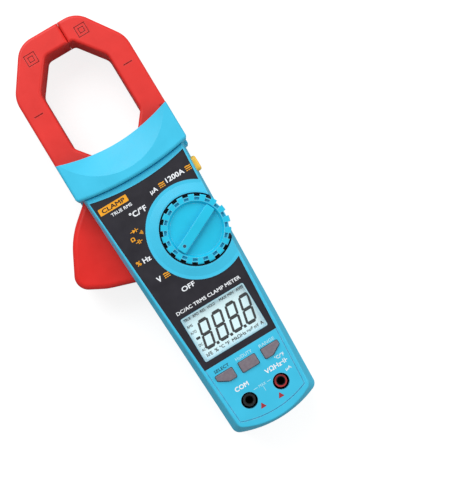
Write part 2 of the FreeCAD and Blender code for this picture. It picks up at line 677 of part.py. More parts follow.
def head_scoop(drop):
    """Conical space that gives the head its scooped facet, lowered by drop."""
    tan = math.tan(math.radians(SCOOP_SLOPE))
    top_z = HEAD_TOP_Z - drop
    centre_y = HEAD_TOP_Y - HEAD_TOP_SAG + SCOOP_FROM_TOP
    low_r = SCOOP_R - SCOOP_DEPTH / tan
    high_r = SCOOP_R + SCOOP_OVER / tan
    return Part.makeCone(low_r, high_r, SCOOP_DEPTH + SCOOP_OVER, point(0, centre_y, top_z - SCOOP_DEPTH))


def head_cover():
    """Front cover over the jaws' roots, scooped towards the jaws."""
    under = JAW_TOP_Z + JAW_GAP_Z
    cover = Part.Face(head_wire(0.0, under)).extrude(point(0, 0, HEAD_TOP_Z - under))
    uprights = []
    for edge in cover.Edges:
        if edge.BoundBox.ZLength > 5 and edge.CenterOfMass.y < top_arc_y(HEAD_HALF) + 1:
            uprights.append(edge)
    cover = cover.makeFillet(2.0, uprights)
    skirt_low = top_arc_y(HEAD_HALF) + 2.2
    skirt = box(HEAD_HALF - HEAD_WALL, HEAD_HALF, skirt_low, HEAD_TOP_Y - 0.4, PART_Z + GAP, under + 1)
    lower_edge = [e for e in edges_at_height(cover, HEAD_TOP_Z) if e.CenterOfMass.y < skirt_low]
    cover = cover.makeFillet(1.6, lower_edge)
    cover = joined([cover, skirt]).cut(head_scoop(0.0))
    room_height = HEAD_TOP_Z - HEAD_WALL - under + 1
    room = Part.Face(head_wire(HEAD_WALL, under - 1)).extrude(point(0, 0, room_height))
    room = room.cut(head_scoop(HEAD_WALL * 1.2))
    cover = cover.cut(room)
    bosses = [cylinder(BOSS_R, JAW_TOP_Z + FIT, HEAD_TOP_Z, x, y) for x, y in HEAD_SCREWS]
    bosses.append(cylinder(PIVOT_R + 2.5, JAW_TOP_Z + 0.3, HEAD_TOP_Z, PIVOT_X, PIVOT_Y))
    below_top = box(-90, 90, 0, 300, 0, HEAD_TOP_Z - 1.0)
    scoop = head_scoop(HEAD_WALL / 2)
    cover = joined([cover] + [boss.cut(scoop).common(below_top) for boss in bosses])
    cuts = [cylinder(SCREW_R + FIT, under - 1, HEAD_TOP_Z - 4.5, x, y) for x, y in HEAD_SCREWS]
    cuts.append(cylinder(PIVOT_R + FIT, under - 1, PIVOT_TOP_Z, PIVOT_X, PIVOT_Y))
    return cover.cut(cuts).removeSplitter()


def front_label():
    """Printed overlay, cut out for the knob's collar and the display."""
    label = label_area(0.0, FRONT_Z - LABEL_SUNK - LABEL_T + 0.02, FRONT_Z - LABEL_SUNK)
    label = label.cut(cylinder(COLLAR_R + GAP, 0, FAR, KNOB_X, KNOB_Y))
    return label.cut(window_block(WINDOW_HALF + GAP, GAP, 0, FAR))


def display_window():
    sunk_z = FRONT_Z - LABEL_SUNK
    return window_block(WINDOW_HALF, 0.0, sunk_z - WINDOW_T + FIT, sunk_z - SLIP)


# ---- inside the case ------------------------------------------------------------------------------------
def lcd_top():
    return FRONT_Z - PLATE_T - LABEL_SUNK - 0.15


def lcd_glass():
    high = lcd_top()
    return box(-WINDOW_HALF - LCD_MARGIN + 1.0, WINDOW_HALF + LCD_MARGIN - 1.0, WINDOW_LOW_Y - LCD_MARGIN,
               WINDOW_TOP_Y + LCD_MARGIN, high - LCD_T, high)


def lcd_backlight():
    high = lcd_top() - LCD_T - LCD_GAP
    return box(-WINDOW_HALF, WINDOW_HALF, WINDOW_LOW_Y, WINDOW_TOP_Y, high - BACKLIGHT_T, high)


def lcd_frame():
    """Moulded frame that holds the glass and the light guide on the board."""
    glass = lcd_glass().BoundBox
    light = lcd_backlight().BoundBox
    outer = around(glass, LCD_FRAME_W, board_front(), lcd_top() - 0.3)
    pocket = around(glass, LCD_GAP, lcd_top() - LCD_T - SLIP, FAR)
    return outer.cut([pocket, around(light, LCD_GAP, 0, FAR)])


def around(bounds, margin, low, high):
    """Upright block over a box's plan, grown by a margin."""
    x0, x1 = bounds.XMin - margin, bounds.XMax + margin
    return box(x0, x1, bounds.YMin - margin, bounds.YMax + margin, low, high)


def board_front():
    """Height at which the parts on the board's front stand."""
    return BOARD_Z + BOARD_T + SLIP


def board_back():
    """Height from which the parts on the board's back hang."""
    return BOARD_Z - FIT


def zebra_strip():
    """Rubber connector between the glass's lower edge and the board."""
    return box(-WINDOW_HALF + 1.5, WINDOW_HALF - 1.5, WINDOW_LOW_Y + 0.1, WINDOW_LOW_Y + 2.3,
               board_front(), lcd_top() - LCD_T - LCD_GAP - BACKLIGHT_T - 0.2)


def main_board():
    """Circuit board with an ear beside the head and holes for the case's posts and the sockets."""
    margin = WALL + BOARD_MARGIN
    low = case_half_at(BOARD_LOW_Y) - margin
    mid = case_half_at(BOARD_TOP_Y) - margin
    ear = side_switch_face() + 0.3
    board = prism([
        (-low + 1.5, BOARD_LOW_Y, 2.0), (low - 1.5, BOARD_LOW_Y, 2.0), (low, BOARD_LOW_Y + 3.0, 1.0),
        (mid, BOARD_TOP_Y, 1.0), (ear, BOARD_TOP_Y + 2.0, 1.0), (ear, BOARD_EAR_TOP_Y, 1.0),
        (BOARD_EAR_X, BOARD_EAR_TOP_Y, 1.0), (BOARD_EAR_X, BOARD_TOP_Y, 1.0), (-mid, BOARD_TOP_Y, 1.0),
        (-low, BOARD_LOW_Y + 3.0, 1.0),
    ], BOARD_Z, BOARD_Z + BOARD_T)
    holes = [cylinder(BOSS_R + 0.3, 0, FAR, x, y) for x, y in CASE_SCREWS]
    for side in (-1, 1):
        holes.append(cylinder(SOCKET_TUBE_R + 0.2, 0, FAR, side * SOCKET_PITCH / 2, SOCKET_Y))
    return board.cut(holes)


def range_tracks():
    """Plated contact rings of the range switch, broken into sectors."""
    low = BOARD_Z + BOARD_T
    rings = []
    for radius in TRACK_RADII:
        ring = tube(radius + TRACK_W / 2, radius - TRACK_W / 2, low, low + 0.12, KNOB_X, KNOB_Y)
        gap = box(KNOB_X + 2, KNOB_X + 40, KNOB_Y - 0.5, KNOB_Y + 0.5, 0, FAR)
        rings.append(ring.cut(gap))
    return Part.makeCompound(rings)


def board_chips():
    """The measuring chip, the memory and the display driver, on the board's back."""
    high = board_back()
    chips = []
    for x, y, width, depth in CHIPS:
        chips.append(box(x - width / 2, x + width / 2, y - depth / 2, y + depth / 2, high - CHIP_T, high))
    return Part.makeCompound(chips)


def board_capacitors():
    """Round capacitors on the board's back."""
    high = board_back()
    cans = [cylinder(radius, high - height, high, x, y) for x, y, radius, height in CAPACITORS]
    return Part.makeCompound(cans)


def input_protectors():
    """Disc thermistors and spark gaps between the sockets and the measuring chip."""
    high = board_back()
    half = PROTECTOR_W / 2
    discs = [box(x - half, x + half, y - 1.0, y + 1.0, high - PROTECTOR_H, high) for x, y in PROTECTORS]
    return Part.makeCompound(discs)


def buzzer():
    """Piezo sounder on the board's back."""
    return tube(BUZZER_R, 1.0, board_back() - BUZZER_H, board_back(), *BUZZER_PLACE)


def side_switch_face():
    return case_half_at(SIDE_BUTTON_Y) - WALL - 6.8


def side_switch():
    """Tactile switch behind the side button."""
    x = side_switch_face()
    low = board_front()
    body = box(x - 3.4, x - 0.5, SIDE_BUTTON_Y - 3.0, SIDE_BUTTON_Y + 3.0, low, low + 4.0)
    return joined([body, box(x - 0.6, x, SIDE_BUTTON_Y - 1.2, SIDE_BUTTON_Y + 1.2, low + 1.2, low + 2.8)])


def button_pad():
    """Rubber pad with three domes under the front buttons."""
    low = board_front()
    half = BUTTON_PITCH + BUTTON_W / 2 - 1.0
    parts = [box(-half, half, BUTTON_Y - 3.5, BUTTON_Y + 3.5, low, low + 1.0)]
    for place in (-1, 0, 1):
        parts.append(cylinder(2.6, low + 0.9, low + DOME_H, place * BUTTON_PITCH, BUTTON_Y))
    return joined(parts)


# ---- controls -------------------------------------------------------------------------------------------
def button_block(place, shrink, low, high):
    """One front button's outline: the middle one is square, the outer two have a cut lower corner."""
    x = place * BUTTON_PITCH
    half = BUTTON_W / 2 - shrink
    y0, y1 = BUTTON_Y - BUTTON_H / 2 + shrink, BUTTON_Y + BUTTON_H / 2 - shrink
    r = BUTTON_R
    if place == 0:
        corners = [(x - half, y0, r), (x + half, y0, r), (x + half, y1, r), (x - half, y1, r)]
    else:
        corners = [(-half + BUTTON_SLANT_W, y0, 1.2), (half, y0, r), (half, y1, r), (-half, y1, r),
                   (-half, y0 + BUTTON_SLANT, r)]
        if place > 0:
            corners = [(-cx, cy, cr) for cx, cy, cr in reversed(corners)]
        corners = [(x + cx, cy, cr) for cx, cy, cr in corners]
    return prism(corners, low, high)


def front_button(place):
    """Button cap with a foot that keeps it under the front plate."""
    foot_low = board_front() + DOME_H + 0.1 + BUTTON_TRAVEL
    plate_low = FRONT_Z - PLATE_T - LABEL_SUNK
    cap = button_block(place, 0.0, foot_low, FRONT_Z + BUTTON_PROUD)
    cap = cap.makeFillet(0.5, edges_at_height(cap, FRONT_Z + BUTTON_PROUD))
    x = place * BUTTON_PITCH
    half_w = BUTTON_W / 2 + BUTTON_FOOT
    half_h = BUTTON_H / 2 + BUTTON_FOOT
    foot = box(x - half_w, x + half_w, BUTTON_Y - half_h, BUTTON_Y + half_h, foot_low, plate_low - GAP)
    return joined([cap, foot])


def side_button_block(shrink, x0, x1):
    """Rounded bar across the right wall, from x0 to x1."""
    half_l = SIDE_BUTTON_L / 2 - shrink
    half_h = SIDE_BUTTON_H / 2 - shrink
    r = min(half_h * 0.9, 2.2)
    corners = [(-half_l, -half_h, r), (half_l, -half_h, r), (half_l, half_h, r), (-half_l, half_h, r)]
    bar = prism(corners, 0.0, x1 - x0)
    bar.rotate(point(0, 0, 0), point(0, 0, 1), 90)
    bar.rotate(point(0, 0, 0), point(0, 1, 0), 90)
    bar.translate(point(x0, SIDE_BUTTON_Y, SIDE_BUTTON_Z))
    return bar


def side_button():
    """Push button in the case's right side, with a flange inside the wall."""
    face = case_half_at(SIDE_BUTTON_Y) + SIDE_BUTTON_PROUD
    inner = case_half_at(SIDE_BUTTON_Y) - WALL - 5.0
    bar = side_button_block(0.0, inner, face)
    rim = [edge for edge in bar.Edges if edge.BoundBox.XMin > face - 0.01]
    bar = bar.makeFillet(1.2, rim)
    outside = inner + 3.8
    half_l = SIDE_BUTTON_L / 2 + 0.8
    flange = box(outside - 1.0, outside, SIDE_BUTTON_Y - half_l, SIDE_BUTTON_Y + half_l,
                 SIDE_BUTTON_Z - 0.5, SIDE_BUTTON_Z + SIDE_BUTTON_H / 2)
    return joined([bar, flange])


def range_knob():
    """Finger knob: toothed rim, dished face, pointer bar and hub."""
    outer_r = KNOB_HOLE_R - KNOB_GAP
    low = KNOB_FLOOR_Z + 0.3
    knob = cylinder(outer_r, low, KNOB_TOP_Z, KNOB_X, KNOB_Y)
    knob = rim_rounded(knob, KNOB_TOP_Z, 0.8)
    notches = []
    pads = []
    for i in range(KNOB_TEETH):
        angle = i * 360.0 / KNOB_TEETH + KNOB_NOTCH_TURN
        half = KNOB_NOTCH_W / 2
        notch = box(outer_r - KNOB_NOTCH_D, outer_r + 2, -half, half, low - 1, KNOB_TOP_Z + 1)
        pad_low = KNOB_RING_R + KNOB_PAD_IN
        pad = box(pad_low, pad_low + KNOB_PAD_L, -KNOB_PAD_W / 2, KNOB_PAD_W / 2,
                  KNOB_TOP_Z - KNOB_PAD_D, KNOB_TOP_Z + 1)
        for shape, group in ((notch, notches), (pad, pads)):
            shape.rotate(point(0, 0, 0), point(0, 0, 1), angle)
            shape.translate(point(KNOB_X, KNOB_Y, 0))
            group.append(shape)
    dish_low = point(KNOB_X, KNOB_Y, KNOB_DISH_Z)
    dish = Part.makeCone(KNOB_RING_R - KNOB_DISH_IN, KNOB_RING_R, KNOB_TOP_Z - KNOB_DISH_Z, dish_low)
    knob = knob.cut([dish] + notches + pads)
    bar = knob_bar(KNOB_BAR_L, KNOB_BAR_W, KNOB_DISH_Z - 0.5, KNOB_BAR_Z)
    bar = bar.makeFillet(0.5, edges_at_height(bar, KNOB_BAR_Z))
    hub = cylinder(HUB_R, HUB_LOW_Z + 1.9, low + 0.5, KNOB_X, KNOB_Y)
    knob = joined([knob, bar, hub, knob_key(0.0, HUB_LOW_Z, HUB_LOW_Z + 2.2)])
    return knob.cut(pointer_dot_hole(FIT))


def knob_key(growth, low, high):
    """Square drive between the knob's hub and the switch's rotor."""
    half = HUB_R / 2 + growth
    key = prism([(-half, -half, 0.3), (half, -half, 0.3), (half, half, 0.3), (-half, half, 0.3)], low, high)
    key.translate(point(KNOB_X, KNOB_Y, 0))
    return key


def knob_bar(length, width, low, high):
    """The raised pointer bar, turned to the stored position."""
    half_l, half_w = length / 2, width / 2
    r = KNOB_BAR_R
    corners = [(-half_l, -half_w, r), (half_l, -half_w, r), (half_l, half_w, r), (-half_l, half_w, r)]
    bar = prism(corners, low, high)
    bar.rotate(point(0, 0, 0), point(0, 0, 1), KNOB_BAR_ANGLE)
    bar.translate(point(KNOB_X, KNOB_Y, 0))
    return bar


def pointer_dot_hole(growth):
    x, y = turned(-KNOB_BAR_L / 2 + 3.2, 0, KNOB_BAR_ANGLE)
    return cylinder(0.85 + growth, KNOB_BAR_Z - 1.0, KNOB_BAR_Z + 1, KNOB_X + x, KNOB_Y + y)


def pointer_dot():
    """Dark insert that marks the knob's pointing end."""
    return pointer_dot_hole(0.0).common(box(-90, 90, 0, 200, 0, KNOB_BAR_Z - 0.15))


def wiper_carrier():
    """Rotor of the range switch, keyed on the knob's hub."""
    low, high = HUB_LOW_Z, HUB_LOW_Z + ROTOR_T
    rotor = cylinder(ROTOR_R, low, high, KNOB_X, KNOB_Y)
    return rotor.cut(knob_key(FIT, low - 1, high + 1))


def wiper_contacts():
    """Three sprung contact fingers under the rotor."""
    fingers = []
    for i, radius in enumerate(TRACK_RADII):
        angle = 90.0 + 120.0 * i
        finger = box(radius - 0.6, radius + 0.6, -2.2, 2.2, HUB_LOW_Z - 0.42, HUB_LOW_Z - 0.02)
        finger.rotate(point(0, 0, 0), point(0, 0, 1), angle)
        finger.translate(point(KNOB_X, KNOB_Y, 0))
        fingers.append(finger)
    return Part.makeCompound(fingers)


# ---- input sockets ----------------------------------------------------------------------------------------
def socket_top():
    """Height of the sockets' contacts, just under the front plate."""
    return FRONT_Z - PLATE_T - LABEL_SUNK - 0.05


def socket_tube(side):
    """Insulating barrel that takes a plug's shroud."""
    x = side * SOCKET_PITCH / 2
    floor_z = SOCKET_LOW_Z + SOCKET_FLOOR_T
    barrel = tube(SOCKET_TUBE_R, SOCKET_HOLE_R, floor_z, socket_top(), x, SOCKET_Y)
    return joined([barrel, tube(SOCKET_TUBE_R, PILLAR_IN_R + SLIP, SOCKET_LOW_Z, floor_z, x, SOCKET_Y)])


def socket_pillar(side):
    """Coloured insulating sleeve round the metal contact."""
    x = side * SOCKET_PITCH / 2
    return tube(PILLAR_R, PILLAR_IN_R, SOCKET_LOW_Z + SOCKET_FLOOR_T + SLIP, socket_top(), x, SOCKET_Y)


def socket_contact(side):
    """Metal sleeve for a 4 mm plug, with a solder tail."""
    x = side * SOCKET_PITCH / 2
    sleeve_low = socket_top() - CONTACT_LENGTH
    sleeve = tube(CONTACT_R + CONTACT_T, CONTACT_R, sleeve_low, socket_top(), x, SOCKET_Y)
    tail = cylinder(CONTACT_R + CONTACT_T, SOCKET_LOW_Z - CONTACT_TAIL, sleeve_low, x, SOCKET_Y)
    return joined([sleeve, tail])


# ---- jaws -------------------------------------------------------------------------------------------------
def tongue_block(growth, low, high):
    """The trigger's tongue inside the moving jaw's root."""
    low_y = jaw_floor(TONGUE_LEFT) - 5.0
    return box(TONGUE_LEFT - growth, TONGUE_RIGHT + growth, low_y, TONGUE_TOP_Y + growth, low, high)


def jaw_floor(x):
    """Height of the moving jaw's lower edge at x."""
    (x0, y0), (x1, y1) = jaw_floor_ends()
    return y0 + (y1 - y0) * (x - x0) / (x1 - x0)


def moving_jaw_shell(low, high, face_z):
    """One half of the moving jaw's casing."""
    shell = prism(moving_jaw_corners(), low, high)
    eye = cylinder(PIVOT_EYE_R, low, high, PIVOT_X, PIVOT_Y)
    shell = joined([shell, eye])
    shell = rim_rounded(shell, face_z, JAW_EDGE_R)
    inner_low = JAW_LOW_Z + JAW_WALL
    inner_high = JAW_TOP_Z - JAW_WALL
    middle = (JAW_LOW_Z + JAW_TOP_Z) / 2
    cuts = [
        moving_core_space(JAW_WALL, -1.0, inner_low, inner_high),
        tongue_block(CORE_GAP, middle - TONGUE_HALF_Z - CORE_GAP, middle + TONGUE_HALF_Z + CORE_GAP),
        cylinder(BUSH_R + FIT, low - 1, high + 1, PIVOT_X, PIVOT_Y),
    ]
    for x, y in JAW_SCREWS:
        cuts.append(cylinder(SCREW_R + FIT, JAW_LOW_Z - 1, JAW_TOP_Z - 3.0, x, y))
        cuts.append(cylinder(SCREW_HEAD_R + SCREW_GAP, JAW_LOW_Z - 1, JAW_LOW_Z + JAW_SCREW_SINK, x, y))
    cuts += jaw_marks(-1, face_z)
    return shell.cut(cuts)


def jaw_marks(side, face_z):
    """Shallow moulded marks: a square in a square, and a line for placing the conductor."""
    if face_z < PART_Z:
        return []
    low = face_z - MARK_D
    x = side * MARK_X
    marks = []
    for half in MARK_HALVES:
        outer = box(x - half, x + half, MARK_Y - half, MARK_Y + half, low, face_z + 1)
        hole = half - MARK_W
        marks.append(outer.cut(box(x - hole, x + hole, MARK_Y - hole, MARK_Y + hole, 0, FAR)))
    line_x = side * LINE_X
    marks.append(box(line_x - LINE_L / 2, line_x + LINE_L / 2, LINE_Y, LINE_Y + LINE_W, low, face_z + 1))
    return marks


def moving_jaw_core():
    wall = JAW_WALL + CORE_GAP
    return moving_core_space(wall, CORE_TIP_GAP, JAW_LOW_Z + wall, JAW_TOP_Z - wall)


def fixed_jaw_shell(low, high, face_z):
    """One half of the fixed jaw's casing."""
    shell = prism(fixed_jaw_corners(), low, high)
    shell = rim_rounded(shell, face_z, JAW_EDGE_R)
    cuts = [fixed_core_space(JAW_WALL, -1.0, JAW_LOW_Z + JAW_WALL, JAW_TOP_Z - JAW_WALL)]
    for x, y in HEAD_SCREWS:
        cuts.append(cylinder(SCREW_R + SCREW_GAP, low - 1, high + 1, x, y))
    cuts += jaw_marks(1, face_z)
    return shell.cut(cuts)


def fixed_jaw_core():
    """Iron core with a gap for the field sensor."""
    wall = JAW_WALL + CORE_GAP
    core = fixed_core_space(wall, CORE_TIP_GAP, JAW_LOW_Z + wall, JAW_TOP_Z - wall)
    return core.cut(box(0, 50, SENSOR_Y, SENSOR_Y + SENSOR_T, 0, FAR))


def field_sensor():
    """Sensor chip in the core's gap, on its small board."""
    low, high = JAW_LOW_Z + 4.0, JAW_TOP_Z - 4.0
    return box(JAW_IN_HALF + 2.6, JAW_HALF - 2.6, SENSOR_Y + 0.2, SENSOR_Y + SENSOR_T - 0.2, low, high)


def pivot_bush():
    """Bearing sleeve in the moving jaw's eye."""
    return tube(BUSH_R, PIVOT_R + SLIP, JAW_LOW_Z + 0.1, JAW_TOP_Z - 0.1, PIVOT_X, PIVOT_Y)


def pivot_pin():
    """Steel pin held by the rear case and the head cover."""
    return cylinder(PIVOT_R, PIVOT_LOW_Z + 0.1, PIVOT_TOP_Z - 0.1, PIVOT_X, PIVOT_Y)


def trigger():
    """Thumb lever: a hollow wing outside the case and a tongue in the moving jaw."""
    heel_x, heel_y = jaw_floor_ends()[0]
    corners = [
        (heel_x, heel_y - GAP, 0.8),
        TRIGGER_BACK,
        TRIGGER_TIP,
        TRIGGER_THUMB,
        (TRIGGER_INNER_X, TRIGGER_FOOT_Y, 2.0),
        (TRIGGER_INNER_X, TRIGGER_NECK_Y, 3.0),
        (TONGUE_RIGHT, TRIGGER_ROOT_Y, 1.0),
        (TONGUE_RIGHT, jaw_floor(TONGUE_RIGHT) - GAP, 0.5),
    ]
    wing = prism(corners, TRIGGER_LOW_Z, TRIGGER_TOP_Z)
    rims = []
    for z in (TRIGGER_LOW_Z, TRIGGER_TOP_Z):
        for edge in edges_at_height(wing, z):
            if edge.CenterOfMass.x < TRIGGER_INNER_X - 4.0:
                rims.append(edge)
    wing = wing.makeFillet(TRIGGER_EDGE_R, rims)
    inside_low, inside_high = TRIGGER_LOW_Z + TRIGGER_WALL, TRIGGER_TOP_Z - TRIGGER_WALL
    inner = prism(offset_corners(corners, TRIGGER_WALL), inside_low, inside_high)
    inner = inner.common(box(-FAR, 0, 0, TRIGGER_ROOT_Y - 1.5, 0, FAR))
    mouth_low, mouth_high = TRIGGER_MOUTH
    mouth = box(TRIGGER_INNER_X - 4, TRIGGER_INNER_X + 1, mouth_low, mouth_high, inside_low, inside_high)
    middle = (JAW_LOW_Z + JAW_TOP_Z) / 2
    tongue = tongue_block(0.0, middle - TONGUE_HALF_Z, middle + TONGUE_HALF_Z)
    lever = joined([wing.cut([inner, mouth]), tongue])
    holes = [cylinder(SCREW_R + SCREW_GAP, 0, FAR, x, y) for x, y in JAW_SCREWS]
    return lever.cut(holes)


def coil_half(centre, across, side, wire_r):
    """Half a turn of wire: the section at centre - across is swung round by 180 degrees.

    side is 1 for a half turn that bulges to +Z and -1 for one that bulges to -Z.
    """
    start = centre - across
    section = Part.Face(Part.Wire(Part.makeCircle(wire_r, start, point(0, 0, 1))))
    axis = across.cross(point(0, 0, side))
    return section.revolve(centre, axis, -180.0)


def return_spring():
    """Compression spring between the trigger and the case's post, wound from half turns."""
    wire_r = SPRING_WIRE / 2
    radius = SPRING_R - wire_r
    low_x = TRIGGER_INNER_X + wire_r + SPRING_END_GAP
    high_x = SPRING_POST_X - wire_r - SPRING_END_GAP
    pitch = (high_x - low_x) / SPRING_TURNS
    z = (TRIGGER_LOW_Z + TRIGGER_TOP_Z) / 2
    halves = []
    for i in range(SPRING_TURNS):
        x = low_x + i * pitch
        halves.append(coil_half(point(x, SPRING_Y, z), point(0, radius, 0), 1, wire_r))
        slanted = point(x + pitch / 2, SPRING_Y, z)
        halves.append(coil_half(slanted, point(-pitch / 2, -radius, 0), -1, wire_r))
    halves.append(coil_half(point(high_x, SPRING_Y, z), point(0, radius, 0), 1, wire_r))
    return joined(halves)


# ---- power ------------------------------------------------------------------------------------------------
def cell_places():
    """(x, direction of the positive end) of each cell."""
    middle = (CELL_COUNT - 1) / 2
    return [((i - middle) * CELL_PITCH, 1 if i % 2 == 0 else -1) for i in range(CELL_COUNT)]


def cell_z():
    return DOOR_T + 1.9 + CELL_R


def cell_low_y(direction):
    """Where a cell's lower end lies: its spring takes up the slack at the negative end."""
    slack = BAY_L - 2 * PLATE_STACK - CELL_L
    return BAY_LOW_Y + PLATE_STACK + (slack - 0.1 if direction > 0 else 0.1)


def batteries():
    """Cylindrical cells, each with its positive button."""
    cells = []
    for x, direction in cell_places():
        low = cell_low_y(direction)
        can_low = low if direction > 0 else low + CELL_BUTTON_L
        can = Part.makeCylinder(CELL_R, CELL_L - CELL_BUTTON_L, point(x, can_low, cell_z()), point(0, 1, 0))
        button_low = low + CELL_L - CELL_BUTTON_L - 0.01 if direction > 0 else low
        start = point(x, button_low, cell_z())
        button = Part.makeCylinder(CELL_BUTTON_R, CELL_BUTTON_L + 0.01, start, point(0, 1, 0))
        cells.append(joined([can, button]))
    return Part.makeCompound(cells)


def battery_plates():
    """Flat contact plates at both ends of the bay."""
    plates = []
    for x, _ in cell_places():
        for y in (BAY_LOW_Y + 0.05, BAY_LOW_Y + BAY_L - PLATE_STACK):
            plates.append(box(x - 4.2, x + 4.2, y, y + PLATE_STACK - 0.05, cell_z() - 4.0, cell_z() + 4.0))
    return Part.makeCompound(plates)


def battery_springs():
    """Conical springs at the cells' negative ends."""
    springs = []
    wire_r = BATTERY_WIRE_R
    turns = 3
    slack = BAY_L - 2 * PLATE_STACK - CELL_L - 0.3 - 2 * wire_r
    for x, direction in cell_places():
        end = cell_low_y(direction) if direction > 0 else cell_low_y(direction) + CELL_L
        for i in range(turns):
            away = wire_r + 0.1 + i * slack / (turns - 1)
            spot = point(x, end - direction * away, cell_z())
            springs.append(Part.makeTorus(2.0 + 0.7 * i, wire_r, spot, point(0, 1, 0)))
    return Part.makeCompound(springs)


def battery_door():
    """Screwed cover of the battery bay, with a locating rib."""
    y = door_screw_y()
    plate = door_outline(DOOR_GAP, SLIP, DOOR_T - SLIP)
    pad = cylinder(DOOR_PAD_R, SLIP, DOOR_PAD_Z, 0, y)
    half = cells_half() + BAY_GAP - DOOR_GAP
    rib = box(-half, half, BAY_LOW_Y + DOOR_GAP, BAY_LOW_Y + BAY_L - DOOR_GAP, DOOR_T - 0.1, DOOR_T + 1.4)
    rib = rib.cut(box(-half + 1.4, half - 1.4, BAY_LOW_Y + 1.6, BAY_LOW_Y + BAY_L - 1.6, 0, FAR))
    head_hole = cylinder(SCREW_HEAD_R + SCREW_GAP, -1, DOOR_SCREW_HEAD_Z + SCREW_HEAD_T, 0, y)
    return joined([plate, pad, rib]).cut([cylinder(SCREW_R + SCREW_GAP, -1, 9, 0, y), head_hole])


# ---- fasteners --------------------------------------------------------------------------------------------
def screw(x, y, head_z, length):
    """Pan-head screw driven towards +Z, with a cross recess."""
    head = cylinder(SCREW_HEAD_R, head_z, head_z + SCREW_HEAD_T, x, y)
    head = rim_rounded(head, head_z, 0.5)
    shank = cylinder(SCREW_R, head_z + SCREW_HEAD_T - 0.1, head_z + SCREW_HEAD_T + length, x, y)
    cross = [box(x - 1.5, x + 1.5, y - 0.35, y + 0.35, head_z - 1, head_z + 0.9),
             box(x - 0.35, x + 0.35, y - 1.5, y + 1.5, head_z - 1, head_z + 0.9)]
    return joined([head, shank]).cut(cross)


def case_screws():
    head_z = SCREW_SINK - SCREW_HEAD_T
    return Part.makeCompound([screw(x, y, head_z, PART_Z - SCREW_SINK + 9.0) for x, y in CASE_SCREWS])


def head_screws():
    head_z = SCREW_SINK - SCREW_HEAD_T
    return Part.makeCompound([screw(x, y, head_z, JAW_TOP_Z - SCREW_SINK + 7.0) for x, y in HEAD_SCREWS])


def jaw_screws():
    head_z = JAW_LOW_Z + JAW_SCREW_SINK - SCREW_HEAD_T
    return Part.makeCompound([screw(x, y, head_z, 16.0) for x, y in JAW_SCREWS])


def door_screw():
    return screw(0, door_screw_y(), DOOR_SCREW_HEAD_Z, 6.0)


def parts():
    """Every node's name and shape."""
    middle = (JAW_LOW_Z + JAW_TOP_Z) / 2
    found = {
        "rear_case": rear_case(),
        "front_case": front_case(),
        "head_cover": head_cover(),
        "front_label": front_label(),
        "display_window": display_window(),
        "lcd_glass": lcd_glass(),
        "lcd_backlight": lcd_backlight(),
        "lcd_frame": lcd_frame(),
        "zebra_strip": zebra_strip(),
        "main_board": main_board(),
        "range_tracks": range_tracks(),
        "board_chips": board_chips(),
        "board_capacitors": board_capacitors(),
        "input_protectors": input_protectors(),
        "buzzer": buzzer(),
        "side_switch": side_switch(),
        "button_pad": button_pad(),
        "button_left": front_button(-1),
        "button_middle": front_button(0),
        "button_right": front_button(1),
        "side_button": side_button(),
        "range_knob": range_knob(),
        "pointer_dot": pointer_dot(),
        "wiper_carrier": wiper_carrier(),
        "wiper_contacts": wiper_contacts(),
        "socket_barrels": Part.makeCompound([socket_tube(-1), socket_tube(1)]),
        "socket_pillar_black": socket_pillar(-1),
        "socket_pillar_red": socket_pillar(1),
        "socket_contacts": Part.makeCompound([socket_contact(-1), socket_contact(1)]),
        "moving_jaw_front": moving_jaw_shell(middle + FIT, JAW_TOP_Z, JAW_TOP_Z),
        "moving_jaw_rear": moving_jaw_shell(JAW_LOW_Z, middle - FIT, JAW_LOW_Z),
        "moving_jaw_core": moving_jaw_core(),
        "fixed_jaw_front": fixed_jaw_shell(middle + FIT, JAW_TOP_Z, JAW_TOP_Z),
        "fixed_jaw_rear": fixed_jaw_shell(JAW_LOW_Z, middle - FIT, JAW_LOW_Z),
        "fixed_jaw_core": fixed_jaw_core(),
        "field_sensor": field_sensor(),
        "pivot_bush": pivot_bush(),
        "pivot_pin": pivot_pin(),
        "trigger": trigger(),
        "return_spring": return_spring(),
        "batteries": batteries(),
        "battery_plates": battery_plates(),
        "battery_springs": battery_springs(),
        "battery_door": battery_door(),
        "door_screw": door_screw(),
        "case_screws": case_screws(),
        "head_screws": head_screws(),
        "jaw_screws": jaw_screws(),
    }
    return found


def main():
    os.makedirs("parts", exist_ok=True)
    for name, shape in parts().items():
        shape.translate(point(0, -ORIGIN_FROM_END, 0))
        if not shape.isValid():
            print("not valid:", name)
        print(name, len(shape.Solids), "solids", round(shape.Volume, 1), "mm3")
        shape.exportStep(os.path.join("parts", name + ".step"))


main()
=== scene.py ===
"""Clamp meter: finishes, printed marks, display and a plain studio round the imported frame.

All lengths are metres unless a name says otherwise. Places on the front are counted in millimetres from the
case's lower end and its centre line, as a maker would mark them out.
"""
import json
import logging
import math
from dataclasses import dataclass, field
from enum import Enum
from typing import Dict, List, Optional, Sequence, Tuple, Union

import bpy
from mathutils import Matrix, Vector


